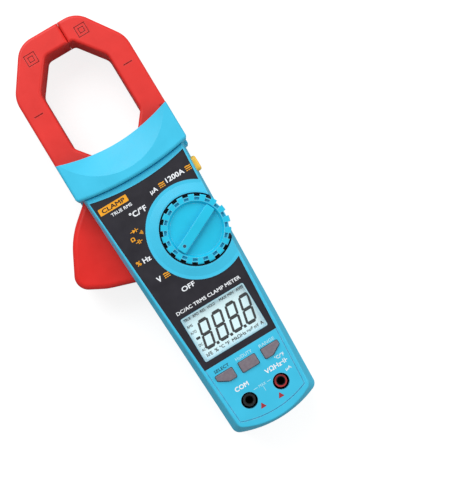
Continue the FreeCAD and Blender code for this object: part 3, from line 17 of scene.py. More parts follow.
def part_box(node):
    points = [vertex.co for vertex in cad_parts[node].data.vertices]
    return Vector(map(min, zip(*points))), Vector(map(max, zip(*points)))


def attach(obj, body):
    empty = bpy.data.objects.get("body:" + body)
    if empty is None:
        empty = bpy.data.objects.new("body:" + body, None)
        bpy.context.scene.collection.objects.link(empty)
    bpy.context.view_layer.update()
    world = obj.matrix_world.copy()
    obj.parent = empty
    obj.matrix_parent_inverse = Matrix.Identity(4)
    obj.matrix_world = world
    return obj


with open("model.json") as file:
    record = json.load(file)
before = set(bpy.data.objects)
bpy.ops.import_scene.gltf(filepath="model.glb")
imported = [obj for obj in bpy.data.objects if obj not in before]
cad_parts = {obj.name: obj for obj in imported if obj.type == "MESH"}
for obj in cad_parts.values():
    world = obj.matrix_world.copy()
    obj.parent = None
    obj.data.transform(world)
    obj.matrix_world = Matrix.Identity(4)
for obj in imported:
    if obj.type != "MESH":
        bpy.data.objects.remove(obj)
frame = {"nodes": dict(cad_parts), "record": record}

LOG = logging.getLogger("clamp_meter")
MM = 0.001
HAIR = 0.01 * MM                # keeps print clear of what it lies on
INK_T = 0.03 * MM
NOISE_LOW, NOISE_HIGH = 0.3, 0.7    # nearly all of a noise pattern lies between these
PLASTIC_IOR = 1.49
Colour = Tuple[float, float, float]
Place = Tuple[float, float, float]
Point2 = Tuple[float, float]
Word = Tuple[str, float, float, float, float, Optional[float]]
Piece = bpy.types.Object
Socket = bpy.types.NodeSocket


def colour(red: int, green: int, blue: int) -> Colour:
    """Turns a display colour of 0 to 255 into the linear values that shaders take.

    Args:
        red: Red, 0 to 255.
        green: Green, 0 to 255.
        blue: Blue, 0 to 255.

    Returns:
        The linear colour.
    """
    def linear(value: float) -> float:
        """One channel's linear value."""
        v = value / 255.0
        return v / 12.92 if v <= 0.04045 else ((v + 0.055) / 1.055) ** 2.4
    return (linear(red), linear(green), linear(blue))


def scaled(base: Colour, factor: float, lift: float = 0.0) -> Colour:
    """A colour made darker or lighter, held at full white."""
    return tuple(min(1.0, c * factor + lift) for c in base)


def towards(base: Colour, level: float, share: float) -> Colour:
    """A colour moved a share of the way to an even grey."""
    return tuple(min(1.0, c + (level - c) * share) for c in base)


class Body(Enum):
    """The moving groups that pieces ride on."""

    METER = "meter"
    JAW = "moving_jaw"


class Layer(Enum):
    """Surfaces that take print or segments, each named by the node that carries it."""

    LABEL = "front_label"
    PANEL = "front_case"
    GLASS = "lcd_glass"


# ---- shader wiring ------------------------------------------------------------------------------------


class Wiring:
    """Adds and links shader nodes in one material."""

    def __init__(self, name: str) -> None:
        """Starts a material with a Principled shader.

        Args:
            name: The material's name.
        """
        self.material = bpy.data.materials.new(name)
        self.material.use_nodes = True
        self.tree = self.material.node_tree
        self.tree.nodes.clear()
        self.output = self.node("OutputMaterial")
        self.shader = self.node("BsdfPrincipled")
        self.link(self.shader.outputs[0], self.output.inputs["Surface"])
        self.coordinates = self.node("TexCoord").outputs["Object"]

    def node(self, kind: str, **values: float) -> bpy.types.Node:
        """Adds a shader node and sets its plain inputs."""
        node = self.tree.nodes.new("ShaderNode" + kind)
        for name, value in values.items():
            node.inputs[name].default_value = value
        return node

    def link(self, source: Socket, target: Socket) -> None:
        """Links one socket to another."""
        self.tree.links.new(source, target)

    def paint(self, source: Socket) -> None:
        """Drives the shader's colour."""
        self.link(source, self.shader.inputs["Base Color"])

    def roughen(self, source: Socket) -> None:
        """Drives the shader's roughness."""
        self.link(source, self.shader.inputs["Roughness"])

    def noise(self, size_mm: float, detail: float = 2.0, stretch: Colour = (1.0, 1.0, 1.0)) -> Socket:
        """A noise pattern on object coordinates.

        Args:
            size_mm: The size of its blobs.
            detail: Its octaves.
            stretch: How the pattern is scaled along X, Y and Z.

        Returns:
            The pattern's factor socket.
        """
        mapping = self.node("Mapping", Scale=stretch)
        self.link(self.coordinates, mapping.inputs["Vector"])
        node = self.node("TexNoise", Scale=1.0 / (size_mm * MM), Detail=detail)
        self.link(mapping.outputs[0], node.inputs["Vector"])
        return node.outputs["Fac"]

    def mottle(self, size_mm: float, low: float = 0.0, high: float = 1.0, detail: float = 2.0) -> Socket:
        """A noise pattern spread over a range.

        Args:
            size_mm: The size of its blobs.
            low: The range's lower end.
            high: The range's upper end.
            detail: Its octaves.

        Returns:
            The value's socket.
        """
        return self.remap(self.noise(size_mm, detail), NOISE_LOW, NOISE_HIGH, low, high)

    def cells(self, size_mm: float) -> Socket:
        """A cell pattern's distance socket, for cells of a size."""
        node = self.node("TexVoronoi", Scale=1.0 / (size_mm * MM))
        self.link(self.coordinates, node.inputs["Vector"])
        return node.outputs["Distance"]

    def remap(self, source: Socket, low: float, high: float, to_low: float, to_high: float) -> Socket:
        """Maps a value's range onto another, held at its ends."""
        node = self.node("MapRange")
        for index, value in enumerate((low, high, to_low, to_high), start=1):
            node.inputs[index].default_value = value
        self.link(source, node.inputs[0])
        return node.outputs[0]

    def blend(self, share: Socket, first: Union[Colour, Socket], second: Colour) -> Socket:
        """Mixes a colour over another, or over a colour socket, by a pattern."""
        node = self.node("Mix")
        node.data_type = "RGBA"
        if isinstance(first, Socket):
            self.link(first, node.inputs[6])
        else:
            node.inputs[6].default_value = (*first, 1.0)
        node.inputs[7].default_value = (*second, 1.0)
        self.link(share, node.inputs[0])
        return node.outputs[2]

    def multiply(self, first: Socket, second: Socket) -> Socket:
        """The product of two values."""
        node = self.node("Math")
        node.operation = "MULTIPLY"
        self.link(first, node.inputs[0])
        self.link(second, node.inputs[1])
        return node.outputs[0]

    def edges(self, radius_mm: float) -> Socket:
        """Where the surface turns sharply: 0 on flats, rising to 1 along edges.

        Args:
            radius_mm: How far from an edge it is felt.

        Returns:
            The mask's socket.
        """
        bevel = self.node("Bevel", Radius=radius_mm * MM)
        bevel.samples = 4
        geometry = self.node("NewGeometry")
        dot = self.node("VectorMath")
        dot.operation = "DOT_PRODUCT"
        self.link(bevel.outputs[0], dot.inputs[0])
        self.link(geometry.outputs["True Normal"], dot.inputs[1])
        sharp, flat = 0.75, 0.98
        return self.remap(dot.outputs["Value"], sharp, flat, 1.0, 0.0)

    def bump(self, height: Socket, depth_mm: float, strength: float) -> None:
        """Drives the shader's normal from a height pattern.

        Args:
            height: The pattern.
            depth_mm: The relief's depth.
            strength: How much of it shows.
        """
        node = self.node("Bump", Distance=depth_mm * MM, Strength=strength)
        self.link(height, node.inputs["Height"])
        self.link(node.outputs[0], self.shader.inputs["Normal"])

    def set(self, **values: float) -> None:
        """Sets the shader's plain values, with underscores for spaces in their names."""
        for name, value in values.items():
            self.shader.inputs[name.replace("_", " ")].default_value = value


# ---- finishes -----------------------------------------------------------------------------------------


class Finish:
    """A surface that can be made into a material."""

    def build(self, name: str) -> bpy.types.Material:
        """Makes the material.

        Args:
            name: The material's name.

        Returns:
            The material.
        """
        raise NotImplementedError


@dataclass(frozen=True)
class MouldedPlastic(Finish):
    """Injection-moulded plastic with spark-eroded grain, faint flow marks, and edges lightened in patches
    for handling wear and a painted highlight.
    """

    base: Colour
    roughness: float = 0.38
    grain_mm: float = 0.35
    grain_depth_mm: float = 0.012
    flow: float = 0.05
    # how far edges are lightened towards white: handling wear, and a painted highlight along the rims
    edge_wear_highlight_gain: float = 0.12
    gloss: float = 0.5

    def build(self, name: str) -> bpy.types.Material:
        """Makes the material."""
        w = Wiring(name)
        pale = scaled(self.base, 1 + self.flow, self.flow * 0.02)
        tone = w.blend(w.mottle(14.0, detail=3.0), scaled(self.base, 1 - self.flow), pale)
        # edges lightened in patches towards white: handling wear, and a painted highlight along the rims
        wear_and_highlight = w.multiply(w.edges(0.35), w.remap(w.noise(2.4, 4.0), 0.35, 0.65, 0.25, 1.0))
        w.paint(w.blend(wear_and_highlight, tone, towards(self.base, 1.0, self.edge_wear_highlight_gain)))
        streaks = w.noise(0.9, 2.0, (1.0, 0.06, 1.0))
        w.roughen(w.multiply(w.mottle(7.0, 0.88, 1.14, 4.0),
                             w.remap(streaks, 0.55, 0.75, self.roughness, self.roughness * 1.25)))
        w.bump(w.noise(self.grain_mm), self.grain_depth_mm, 0.7)
        w.set(IOR=PLASTIC_IOR, Specular_IOR_Level=self.gloss)
        return w.material


@dataclass(frozen=True)
class PrintedFilm(Finish):
    """Reverse-printed polycarbonate overlay: dark ink under a fine matt texture."""

    base: Colour
    roughness: float = 0.42

    def build(self, name: str) -> bpy.types.Material:
        """Makes the material."""
        w = Wiring(name)
        w.paint(w.blend(w.mottle(9.0, detail=4.0), self.base, scaled(self.base, 1.25, 0.004)))
        w.roughen(w.mottle(5.0, self.roughness * 0.85, self.roughness * 1.2, 5.0))
        w.bump(w.cells(0.22), 0.006, 0.6)
        w.set(Specular_IOR_Level=0.35)
        return w.material


@dataclass(frozen=True)
class Ink(Finish):
    """Screen-printed ink: a slightly uneven, matt film."""

    base: Colour
    roughness: float = 0.5

    def build(self, name: str) -> bpy.types.Material:
        """Makes the material."""
        w = Wiring(name)
        cover = w.remap(w.noise(0.8, 3.0), 0.35, 0.65, 0.0, 1.0)
        w.paint(w.blend(cover, scaled(self.base, 0.86), self.base))
        w.roughen(w.mottle(0.5, self.roughness * 0.85, self.roughness * 1.15))
        w.bump(w.noise(0.12), 0.004, 0.5)
        w.set(Specular_IOR_Level=0.2)
        return w.material


@dataclass(frozen=True)
class ClearPane(Finish):
    """Hard-coated clear plastic with hairline scratches."""

    base: Colour
    alpha: float

    def build(self, name: str) -> bpy.types.Material:
        """Makes the material."""
        w = Wiring(name)
        scratches = w.noise(0.5, 3.0, (1.0, 0.03, 1.0))
        w.roughen(w.remap(scratches, 0.62, 0.72, 0.05, 0.22))
        w.paint(w.blend(w.noise(6.0), self.base, scaled(self.base, 0.95)))
        w.link(w.mottle(3.0, self.alpha * 0.9, self.alpha * 1.2, 4.0), w.shader.inputs["Alpha"])
        w.set(IOR=PLASTIC_IOR)
        return w.material


@dataclass(frozen=True)
class DisplayPolariser(Finish):
    """Reflective liquid-crystal background: pale, faintly green, with a fine metallic grain."""

    base: Colour
    fleck: Colour = (0.8, 0.88, 0.9)

    def build(self, name: str) -> bpy.types.Material:
        """Makes the material."""
        w = Wiring(name)
        tone = w.blend(w.mottle(11.0, detail=3.0), scaled(self.base, 0.94), self.base)
        flecks = w.remap(w.noise(0.12, 1.0), 0.55, 0.8, 0.0, 0.35)
        w.paint(w.blend(flecks, tone, self.fleck))
        w.roughen(w.mottle(0.3, 0.38, 0.55))
        w.bump(w.noise(0.12), 0.003, 0.4)
        return w.material


@dataclass(frozen=True)
class Metal(Finish):
    """Turned, drawn or plated metal with fine tool marks along one direction."""

    base: Colour
    roughness: float = 0.28
    lines: Colour = (1.0, 1.0, 12.0)

    def build(self, name: str) -> bpy.types.Material:
        """Makes the material."""
        w = Wiring(name)
        tarnish = w.remap(w.noise(3.0, 4.0), 0.35, 0.65, 0.0, 1.0)
        w.paint(w.blend(tarnish, scaled(self.base, 0.82), self.base))
        marks = w.noise(0.8, 3.0, self.lines)
        w.roughen(w.remap(marks, NOISE_LOW, NOISE_HIGH, self.roughness * 0.75, self.roughness * 1.4))
        w.bump(marks, 0.008, 0.5)
        w.set(Metallic=1.0)
        return w.material


@dataclass(frozen=True)
class Rubber(Finish):
    """Soft silicone: matt, dusty in the hollows of its fine skin."""

    base: Colour
    roughness: float = 0.62

    def build(self, name: str) -> bpy.types.Material:
        """Makes the material."""
        w = Wiring(name)
        dust = w.remap(w.noise(1.6, 5.0), 0.35, 0.7, 0.0, 1.0)
        tone = w.blend(dust, self.base, towards(self.base, 0.5, 0.10))
        # lighter in noisy patches along edges
        lighter_edge_patches = w.multiply(w.edges(0.3), w.noise(0.8, 3.0))
        w.paint(w.blend(lighter_edge_patches, tone, scaled(self.base, 1.5, 0.02)))
        w.roughen(w.mottle(0.9, self.roughness * 0.9, self.roughness * 1.1))
        w.bump(w.noise(0.25, 3.0), 0.014, 0.8)
        w.set(Sheen_Weight=0.15, Sheen_Roughness=0.4)
        return w.material


@dataclass(frozen=True)
class Laminate(Finish):
    """Solder-masked circuit board with copper showing faintly through."""

    base: Colour
    track: Colour

    def build(self, name: str) -> bpy.types.Material:
        """Makes the material."""
        w = Wiring(name)
        brick = w.node("TexBrick", Scale=120.0, Color1=(*self.base, 1.0), Mortar=(*self.track, 1.0),
                       Color2=(*scaled(self.base, 0.8), 1.0))
        brick.inputs["Mortar Size"].default_value = 0.035
        w.link(w.coordinates, brick.inputs["Vector"])
        w.paint(brick.outputs["Color"])
        w.roughen(w.mottle(2.0, 0.28, 0.42, 4.0))
        w.bump(brick.outputs["Fac"], 0.03, 0.5)
        return w.material


@dataclass(frozen=True)
class Wrapper(Finish):
    """A cell's shrink wrapper in two tones along its length."""

    base: Colour
    band: Colour
    change_y: float
    change_length: float = 0.2 * MM

    def build(self, name: str) -> bpy.types.Material:
        """Makes the material."""
        w = Wiring(name)
        split = w.node("SeparateXYZ")
        w.link(w.coordinates, split.inputs[0])
        along = w.remap(split.outputs["Y"], self.change_y, self.change_y + self.change_length, 0.0, 1.0)
        w.paint(w.blend(along, self.base, self.band))
        w.roughen(w.mottle(2.0, 0.2, 0.34, 3.0))
        w.bump(w.noise(1.2, 3.0), 0.01, 0.4)
        return w.material


CASE_BLUE = colour(58, 184, 219)
KNOB_BLUE = colour(26, 182, 216)
JAW_RED = colour(210, 42, 36)
TRIGGER_RED = colour(216, 34, 28)


@dataclass
class FinishBook:
    """Every material slot's finish, and the materials made from them."""

    made: Dict[str, bpy.types.Material] = field(default_factory=dict)

    def finishes(self) -> Dict[str, Finish]:
        """Pairs each slot's name with its finish.

        Returns:
            The finishes by slot name.
        """
        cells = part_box("batteries")
        middle = (cells[0][1] + cells[1][1]) / 2
        return {
            "case_blue": MouldedPlastic(CASE_BLUE, 0.4, 0.45, flow=0.04, edge_wear_highlight_gain=0.3, gloss=0.28),
            "knob_blue": MouldedPlastic(KNOB_BLUE, 0.38, 0.4, 0.010, 0.04, edge_wear_highlight_gain=0.4, gloss=0.3),
            "jaw_red": MouldedPlastic(JAW_RED, 0.42, 0.5, 0.02, 0.06, edge_wear_highlight_gain=0.16, gloss=0.32),
            "trigger_red": MouldedPlastic(TRIGGER_RED, 0.36, 0.45, edge_wear_highlight_gain=0.16, gloss=0.3),
            "label_dark": PrintedFilm(colour(24, 22, 31)),
            "button_grey": Rubber(colour(108, 98, 108)),
            "button_yellow": MouldedPlastic(colour(240, 188, 66), 0.42),
            "window_clear": ClearPane((0.85, 0.93, 0.95), 0.03),
            "lcd_glass": DisplayPolariser(colour(216, 244, 248)),
            "light_guide": MouldedPlastic(colour(226, 232, 235), 0.25, 0.3, 0.006),
            "frame_white": MouldedPlastic(colour(222, 222, 216), 0.5),
            "board_green": Laminate(colour(22, 96, 60), colour(70, 140, 70)),
            "plated_track": Metal(colour(226, 190, 110), 0.2),
            "spring_brass": Metal(colour(214, 178, 110), 0.3),
            "bush_brass": Metal(colour(214, 178, 110), 0.26, (1.0, 1.0, 14.0)),
            "chip_black": MouldedPlastic(colour(32, 32, 34), 0.55, 0.25, 0.01),
            "can_silver": Metal(colour(196, 198, 202), 0.3),
            "disc_yellow": MouldedPlastic(colour(196, 150, 60), 0.35),
            "insulator_black": MouldedPlastic(colour(22, 22, 26), 0.34, 0.3, 0.008),
            "insulator_red": MouldedPlastic(colour(196, 40, 38), 0.34, 0.3, 0.008),
            "contact_nickel": Metal(colour(52, 50, 48), 0.5),
            "core_iron": Metal(colour(120, 122, 126), 0.42, (1.0, 1.0, 30.0)),
            "pin_steel": Metal(colour(198, 199, 202), 0.24),
            "spring_steel": Metal(colour(180, 182, 186), 0.26),
            "screw_steel": Metal(colour(92, 94, 98), 0.34, (8.0, 8.0, 1.0)),
            "pad_rubber": Rubber(colour(110, 112, 118)),
            "cell_can": Wrapper(colour(40, 42, 48), colour(200, 150, 60), middle),
            "dot_dark": MouldedPlastic(colour(28, 70, 96), 0.5),
            "print_white": Ink(colour(236, 240, 244)),
            "print_orange": Ink(colour(238, 164, 38)),
            "print_dark": Ink(colour(30, 28, 36)),
            "print_red": Ink(colour(160, 50, 60)),
            # painted shade for the moulded grooves on the jaws
            "mark_shade_red": Ink(colour(158, 30, 28)),
            "print_pale": Ink(colour(176, 226, 240)),
            "segment_black": Ink(colour(4, 5, 8), 0.6),
            "lcd_border": Ink(colour(176, 212, 220), 0.5),
            # painted shade for the deep gap round the knob
            "well_shade_black": Rubber(colour(16, 20, 26), 0.7),
        }

    def build(self) -> None:
        """Makes every material."""
        for name, finish in self.finishes().items():
            self.made[name] = finish.build(name)

    def dress_frame(self) -> None:
        """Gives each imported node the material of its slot."""
        slots = {s["node"]: s["material_slot"] for s in frame["record"]["subparts"]}
        for node, piece in frame["nodes"].items():
            piece.data.materials.clear()
            piece.data.materials.append(self.made[slots[node]])
            LOG.info("dressed %s in %s", node, slots[node])


# ---- modelling by hand --------------------------------------------------------------------------------


class Bench:
    """Hand-modelling steps shared by all pieces."""

    LETTER_STEP = 0.002         # lifts each thickening copy clear of the last, in letter heights

    @staticmethod
    def clear() -> None:
        """Leaves edit mode and deselects everything."""
        if bpy.context.object and bpy.context.object.mode != "OBJECT":
            bpy.ops.object.mode_set(mode="OBJECT")
        bpy.ops.object.select_all(action="DESELECT")

    @staticmethod
    def only(piece: Piece) -> None:
        """Selects one piece and makes it active."""
        Bench.clear()
        piece.select_set(True)
        bpy.context.view_layer.objects.active = piece

    @staticmethod
    def settle(piece: Piece) -> None:
        """Applies a piece's place, turn and size to its mesh."""
        Bench.only(piece)
        bpy.ops.object.transform_apply(location=True, rotation=True, scale=True)

    @staticmethod
    def block(centre: Sequence[float], size: Sequence[float], turn: float = 0.0,
              rounding: float = 0.0, segments: int = 2, ends_only: bool = False) -> Piece:
        """A block whose upright edges are bevelled.

        Args:
            centre: Its centre.
            size: Its size along X, Y and Z before it is turned.
            turn: Its turn about Z, in radians.
            rounding: The bevel's width.
            segments: The bevel's segments.
            ends_only: Whether to merge the bevels' corners where they meet at pointed ends.

        Returns:
            The new object, with its place in its mesh.
        """
        Bench.clear()
        bpy.ops.mesh.primitive_cube_add(size=1.0, location=centre, rotation=(0.0, 0.0, turn))
        piece = bpy.context.object
        piece.scale = size
        Bench.settle(piece)
        if rounding > 0.0:
            Bench.bevel_uprights(piece, rounding, segments, ends_only)
        return piece

    @staticmethod
    def patch(at: Place, size_mm: Point2, turn: float = 0.0, rounding_mm: float = 0.0, segments: int = 2,
              ends_only: bool = False) -> Piece:
        """A block as thin as ink, standing on a place.

        Args:
            at: The middle of its lower face.
            size_mm: Its width and height.
            turn: Its turn about Z, in radians.
            rounding_mm: The bevel's width.
            segments: The bevel's segments.
            ends_only: Whether to merge the bevels' corners where they meet at pointed ends.

        Returns:
            The new object.
        """
        x, y, z = at
        return Bench.block((x, y, z + INK_T / 2), (size_mm[0] * MM, size_mm[1] * MM, INK_T), turn,
                           rounding_mm * MM, segments, ends_only)

    @staticmethod
    def triangle(at: Place, radius_mm: float, rounding_mm: float, turn: float = 0.0,
                 segments: int = 2) -> Piece:
        """A triangle as thin as ink, standing on a place.

        Args:
            at: The middle of its lower face.
            radius_mm: Its corners' distance from the middle.
            rounding_mm: The bevel's width.
            turn: Its turn about Z, in radians.
            segments: The bevel's segments.

        Returns:
            The new object.
        """
        x, y, z = at
        Bench.clear()
        bpy.ops.mesh.primitive_cylinder_add(vertices=3, radius=radius_mm * MM, depth=INK_T,
                                            location=(x, y, z + INK_T / 2), rotation=(0.0, 0.0, turn))
        piece = bpy.context.object
        Bench.settle(piece)
        Bench.bevel_uprights(piece, rounding_mm * MM, segments, False)
        return piece

    @staticmethod
    def bevel_uprights(piece: Piece, width: float, segments: int, merge: bool) -> None:
        """Bevels a piece's upright edges.

        Args:
            piece: The piece.
            width: The bevel's width.
            segments: Its segments.
            merge: Whether to merge doubled corners afterwards.
        """
        mesh = piece.data
        upright = []
        for edge in mesh.edges:
            a, b = (mesh.vertices[i].co for i in edge.vertices)
            upright.append(abs(a.z - b.z) > max(abs(a.x - b.x), abs(a.y - b.y)))
        Bench.pick(piece, "EDGE", mesh.edges, upright)
        bpy.ops.mesh.bevel(offset=width, segments=segments, affect="EDGES")
        if merge:
            bpy.ops.mesh.select_all(action="SELECT")
            bpy.ops.mesh.remove_doubles(threshold=1e-6)
        bpy.ops.object.mode_set(mode="OBJECT")

    @staticmethod
    def pick(piece: Piece, kind: str, elements: Sequence[object], wanted: Sequence[bool]) -> None:
        """Enters edit mode with only the wanted edges or faces selected.

        Args:
            piece: The piece.
            kind: The selection mode, EDGE or FACE.
            elements: The mesh's edges or faces.
            wanted: Which of them to select.
        """
        Bench.only(piece)
        bpy.ops.object.mode_set(mode="EDIT")
        bpy.ops.mesh.select_mode(type=kind)
        bpy.ops.mesh.select_all(action="DESELECT")
        bpy.ops.object.mode_set(mode="OBJECT")
        for element, chosen in zip(elements, wanted):
            element.select = chosen
        bpy.ops.object.mode_set(mode="EDIT")

    @staticmethod
    def cut(piece: Piece, at: Sequence[float], normal: Sequence[float]) -> None:
        """Cuts off what lies on a plane's far side and closes the cut.

        Args:
            piece: The piece.
            at: A place on the plane.
            normal: The plane's normal, towards the side that goes.
        """
        Bench.only(piece)
        bpy.ops.object.mode_set(mode="EDIT")
        bpy.ops.mesh.select_all(action="SELECT")
        bpy.ops.mesh.bisect(plane_co=at, plane_no=normal, use_fill=True, clear_outer=True)
        bpy.ops.object.mode_set(mode="OBJECT")

    @staticmethod
    def open_middle(plate: Piece, width: float) -> None:
        """Insets a plate's top and bottom and joins them through, which leaves a frame.

        Args:
            plate: The plate.
            width: The frame's width.
        """
        faces = plate.data.polygons
        Bench.pick(plate, "FACE", faces, [abs(face.normal.z) > 0.9 for face in faces])
        bpy.ops.mesh.inset(thickness=width)
        bpy.ops.mesh.bridge_edge_loops()
        bpy.ops.object.mode_set(mode="OBJECT")

    @staticmethod
    def ring(centre: Sequence[float], outer: float, inner: float, height: float,
             sides: int = 96) -> Piece:
        """A flat washer: a disc inset and opened, then given its height.

        Args:
            centre: The middle of its lower face.
            outer: Its outer radius.
            inner: Its inner radius.
            height: Its height.
            sides: How many sides its circles have.

        Returns:
            The new object.
        """
        Bench.clear()
        bpy.ops.mesh.primitive_circle_add(vertices=sides, radius=outer, fill_type="NGON", location=centre)
        piece = bpy.context.object
        Bench.settle(piece)
        Bench.only(piece)
        bpy.ops.object.mode_set(mode="EDIT")
        bpy.ops.mesh.select_mode(type="FACE")
        bpy.ops.mesh.select_all(action="SELECT")
        bpy.ops.mesh.inset(thickness=outer - inner, depth=0.0)
        bpy.ops.mesh.delete(type="FACE")
        bpy.ops.mesh.select_all(action="SELECT")
        bpy.ops.mesh.extrude_region_move(TRANSFORM_OT_translate={"value": (0.0, 0.0, height)})
        bpy.ops.mesh.select_all(action="SELECT")
        bpy.ops.mesh.normals_make_consistent(inside=False)
        bpy.ops.object.mode_set(mode="OBJECT")
        return piece

    @staticmethod
    def join(pieces: List[Piece], name: str) -> Piece:
        """Joins pieces into one named object."""
        Bench.clear()
        for piece in pieces:
            piece.select_set(True)
        bpy.context.view_layer.objects.active = pieces[0]
        if len(pieces) > 1:
            bpy.ops.object.join()
        joined = bpy.context.object
        joined.name = name
        joined.data.name = name
        return joined

    @staticmethod
    def copy(piece: Piece, shift: Sequence[float]) -> Piece:
        """A copy with its own mesh, moved by shift."""
        twin = piece.copy()
        twin.data = piece.data.copy()
        bpy.context.scene.collection.objects.link(twin)
        twin.data.transform(Matrix.Translation(Vector(shift)))
        return twin

    @staticmethod
    def lettering(words: str, at: Place, height: float, weight: float, width: Optional[float]) -> Piece:
        """Lettering as thin as ink, centred on a place and scaled to its height.

        Args:
            words: What it says.
            at: The middle of its lower face.
            height: The height of its box.
            weight: How much its strokes are thickened, as a share of its size.
            width: The width of its box, if it is to be set too.

        Returns:
            The new object.
        """
        Bench.clear()
        bpy.ops.object.text_add(location=(0.0, 0.0, 0.0))
        piece = bpy.context.object
        piece.data.body = words
        piece.data.size = 1.0
        piece.data.resolution_u = 3
        piece.data.extrude = 0.05
        bpy.ops.object.convert(target="MESH")
        piece = bpy.context.object
        corners = ((-1, -1), (1, -1), (1, 1), (-1, 1))
        doubled = [Bench.copy(piece, (across * weight, up * weight, step * Bench.LETTER_STEP))
                   for step, (across, up) in enumerate(corners, start=1)]
        piece = Bench.join([piece] + doubled, "lettering")
        mesh = piece.data
        spans = [(min(values), max(values)) for values in zip(*(v.co for v in mesh.vertices))]
        wide, tall, deep = (high - low for low, high in spans)
        grow = height / tall
        grow_x = width / wide if width else grow
        middle = Vector((sum(spans[0]) / 2, sum(spans[1]) / 2, spans[2][0]))
        mesh.transform(Matrix.Translation(-middle))
        mesh.transform(Matrix.Diagonal((grow_x, grow, INK_T / deep, 1.0)))
        mesh.transform(Matrix.Translation(Vector(at)))
        return piece


@dataclass
class Front:
    """Turns marking-out measures on the front into places in the frame."""

    low_y: float = field(default_factory=lambda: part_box("front_case")[0][1])
    label_sink: float = 0.45 * MM

    def top(self, layer: Layer) -> float:
        """The height of a layer's printed surface.

        Args:
            layer: The layer.

        Returns:
            The height, with a hair's clearance.
        """
        if layer is Layer.PANEL:
            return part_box(Layer.LABEL.value)[1][2] + self.label_sink + HAIR
        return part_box(layer.value)[1][2] + HAIR

    def place(self, x_mm: float, y_mm: float, layer: Layer) -> Place:
        """A place on a layer.

        Args:
            x_mm: Millimetres right of the centre line.
            y_mm: Millimetres up from the case's lower end.
            layer: The layer it is on.

        Returns:
            The place in metres.
        """
        return (x_mm * MM, self.low_y + y_mm * MM, self.top(layer))


@dataclass
class Piecework:
    """Finishes new pieces: name, material and body."""

    book: FinishBook
    count: int = 0

    def hand_over(self, piece: Piece, name: str, finish: str, slot: str,
                  body: Body = Body.METER) -> Piece:
        """Names a piece, dresses it and puts it on its body.

        Args:
            piece: The piece.
            name: Its name.
            finish: The finish it wears.
            slot: The record's slot that it takes after; not used.
            body: The body that it rides on.

        Returns:
            The piece.
        """
        piece.name = name
        piece.data.name = name
        piece.data.materials.clear()
        piece.data.materials.append(self.book.made[finish])
        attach(piece, body.value)
        self.count += 1
        LOG.info("made %s with %d faces", name, len(piece.data.polygons))
        return piece


# ---- printed markings ---------------------------------------------------------------------------------


@dataclass
class Print:
    """Marks on one layer of the front, placed and sized in millimetres."""

    front: Front
    work: Piecework
    layer: Layer = Layer.LABEL
    corner_share: float = 0.25

    def place(self, x: float, y: float) -> Place:
        """A place on the layer, in metres."""
        return self.front.place(x, y, self.layer)

    def words(self, text: str, x: float, y: float, height: float, weight: float,
              width: Optional[float] = None) -> Piece:
        """One piece of lettering."""
        return Bench.lettering(text, self.place(x, y), height * MM, weight, width * MM if width else None)

    def bar(self, x: float, y: float, width: float, height: float) -> Piece:
        """One printed bar."""
        return Bench.patch(self.place(x, y), (width, height), 0.0, min(width, height) * self.corner_share)

    def capacitor(self, x: float, y: float, gap: float, plate: Point2, reach: float,
                  lead: Point2) -> List[Piece]:
        """A capacitor: two plates and their leads.

        Args:
            x: Its middle, across.
            y: Its middle, up.
            gap: The distance between its plates' middles.
            plate: A plate's width and height.
            reach: The distance between its leads' middles.
            lead: A lead's width and height.

        Returns:
            The four bars.
        """
        plates = [self.bar(x + side * gap, y, *plate) for side in (-0.5, 0.5)]
        return plates + [self.bar(x + side * reach, y, *lead) for side in (-0.5, 0.5)]

    def hand_over(self, pieces: List[Piece], name: str, finish: str, slot: str) -> None:
        """Joins pieces into one mark and finishes it."""
        self.work.hand_over(Bench.join(pieces, name), name, finish, slot)


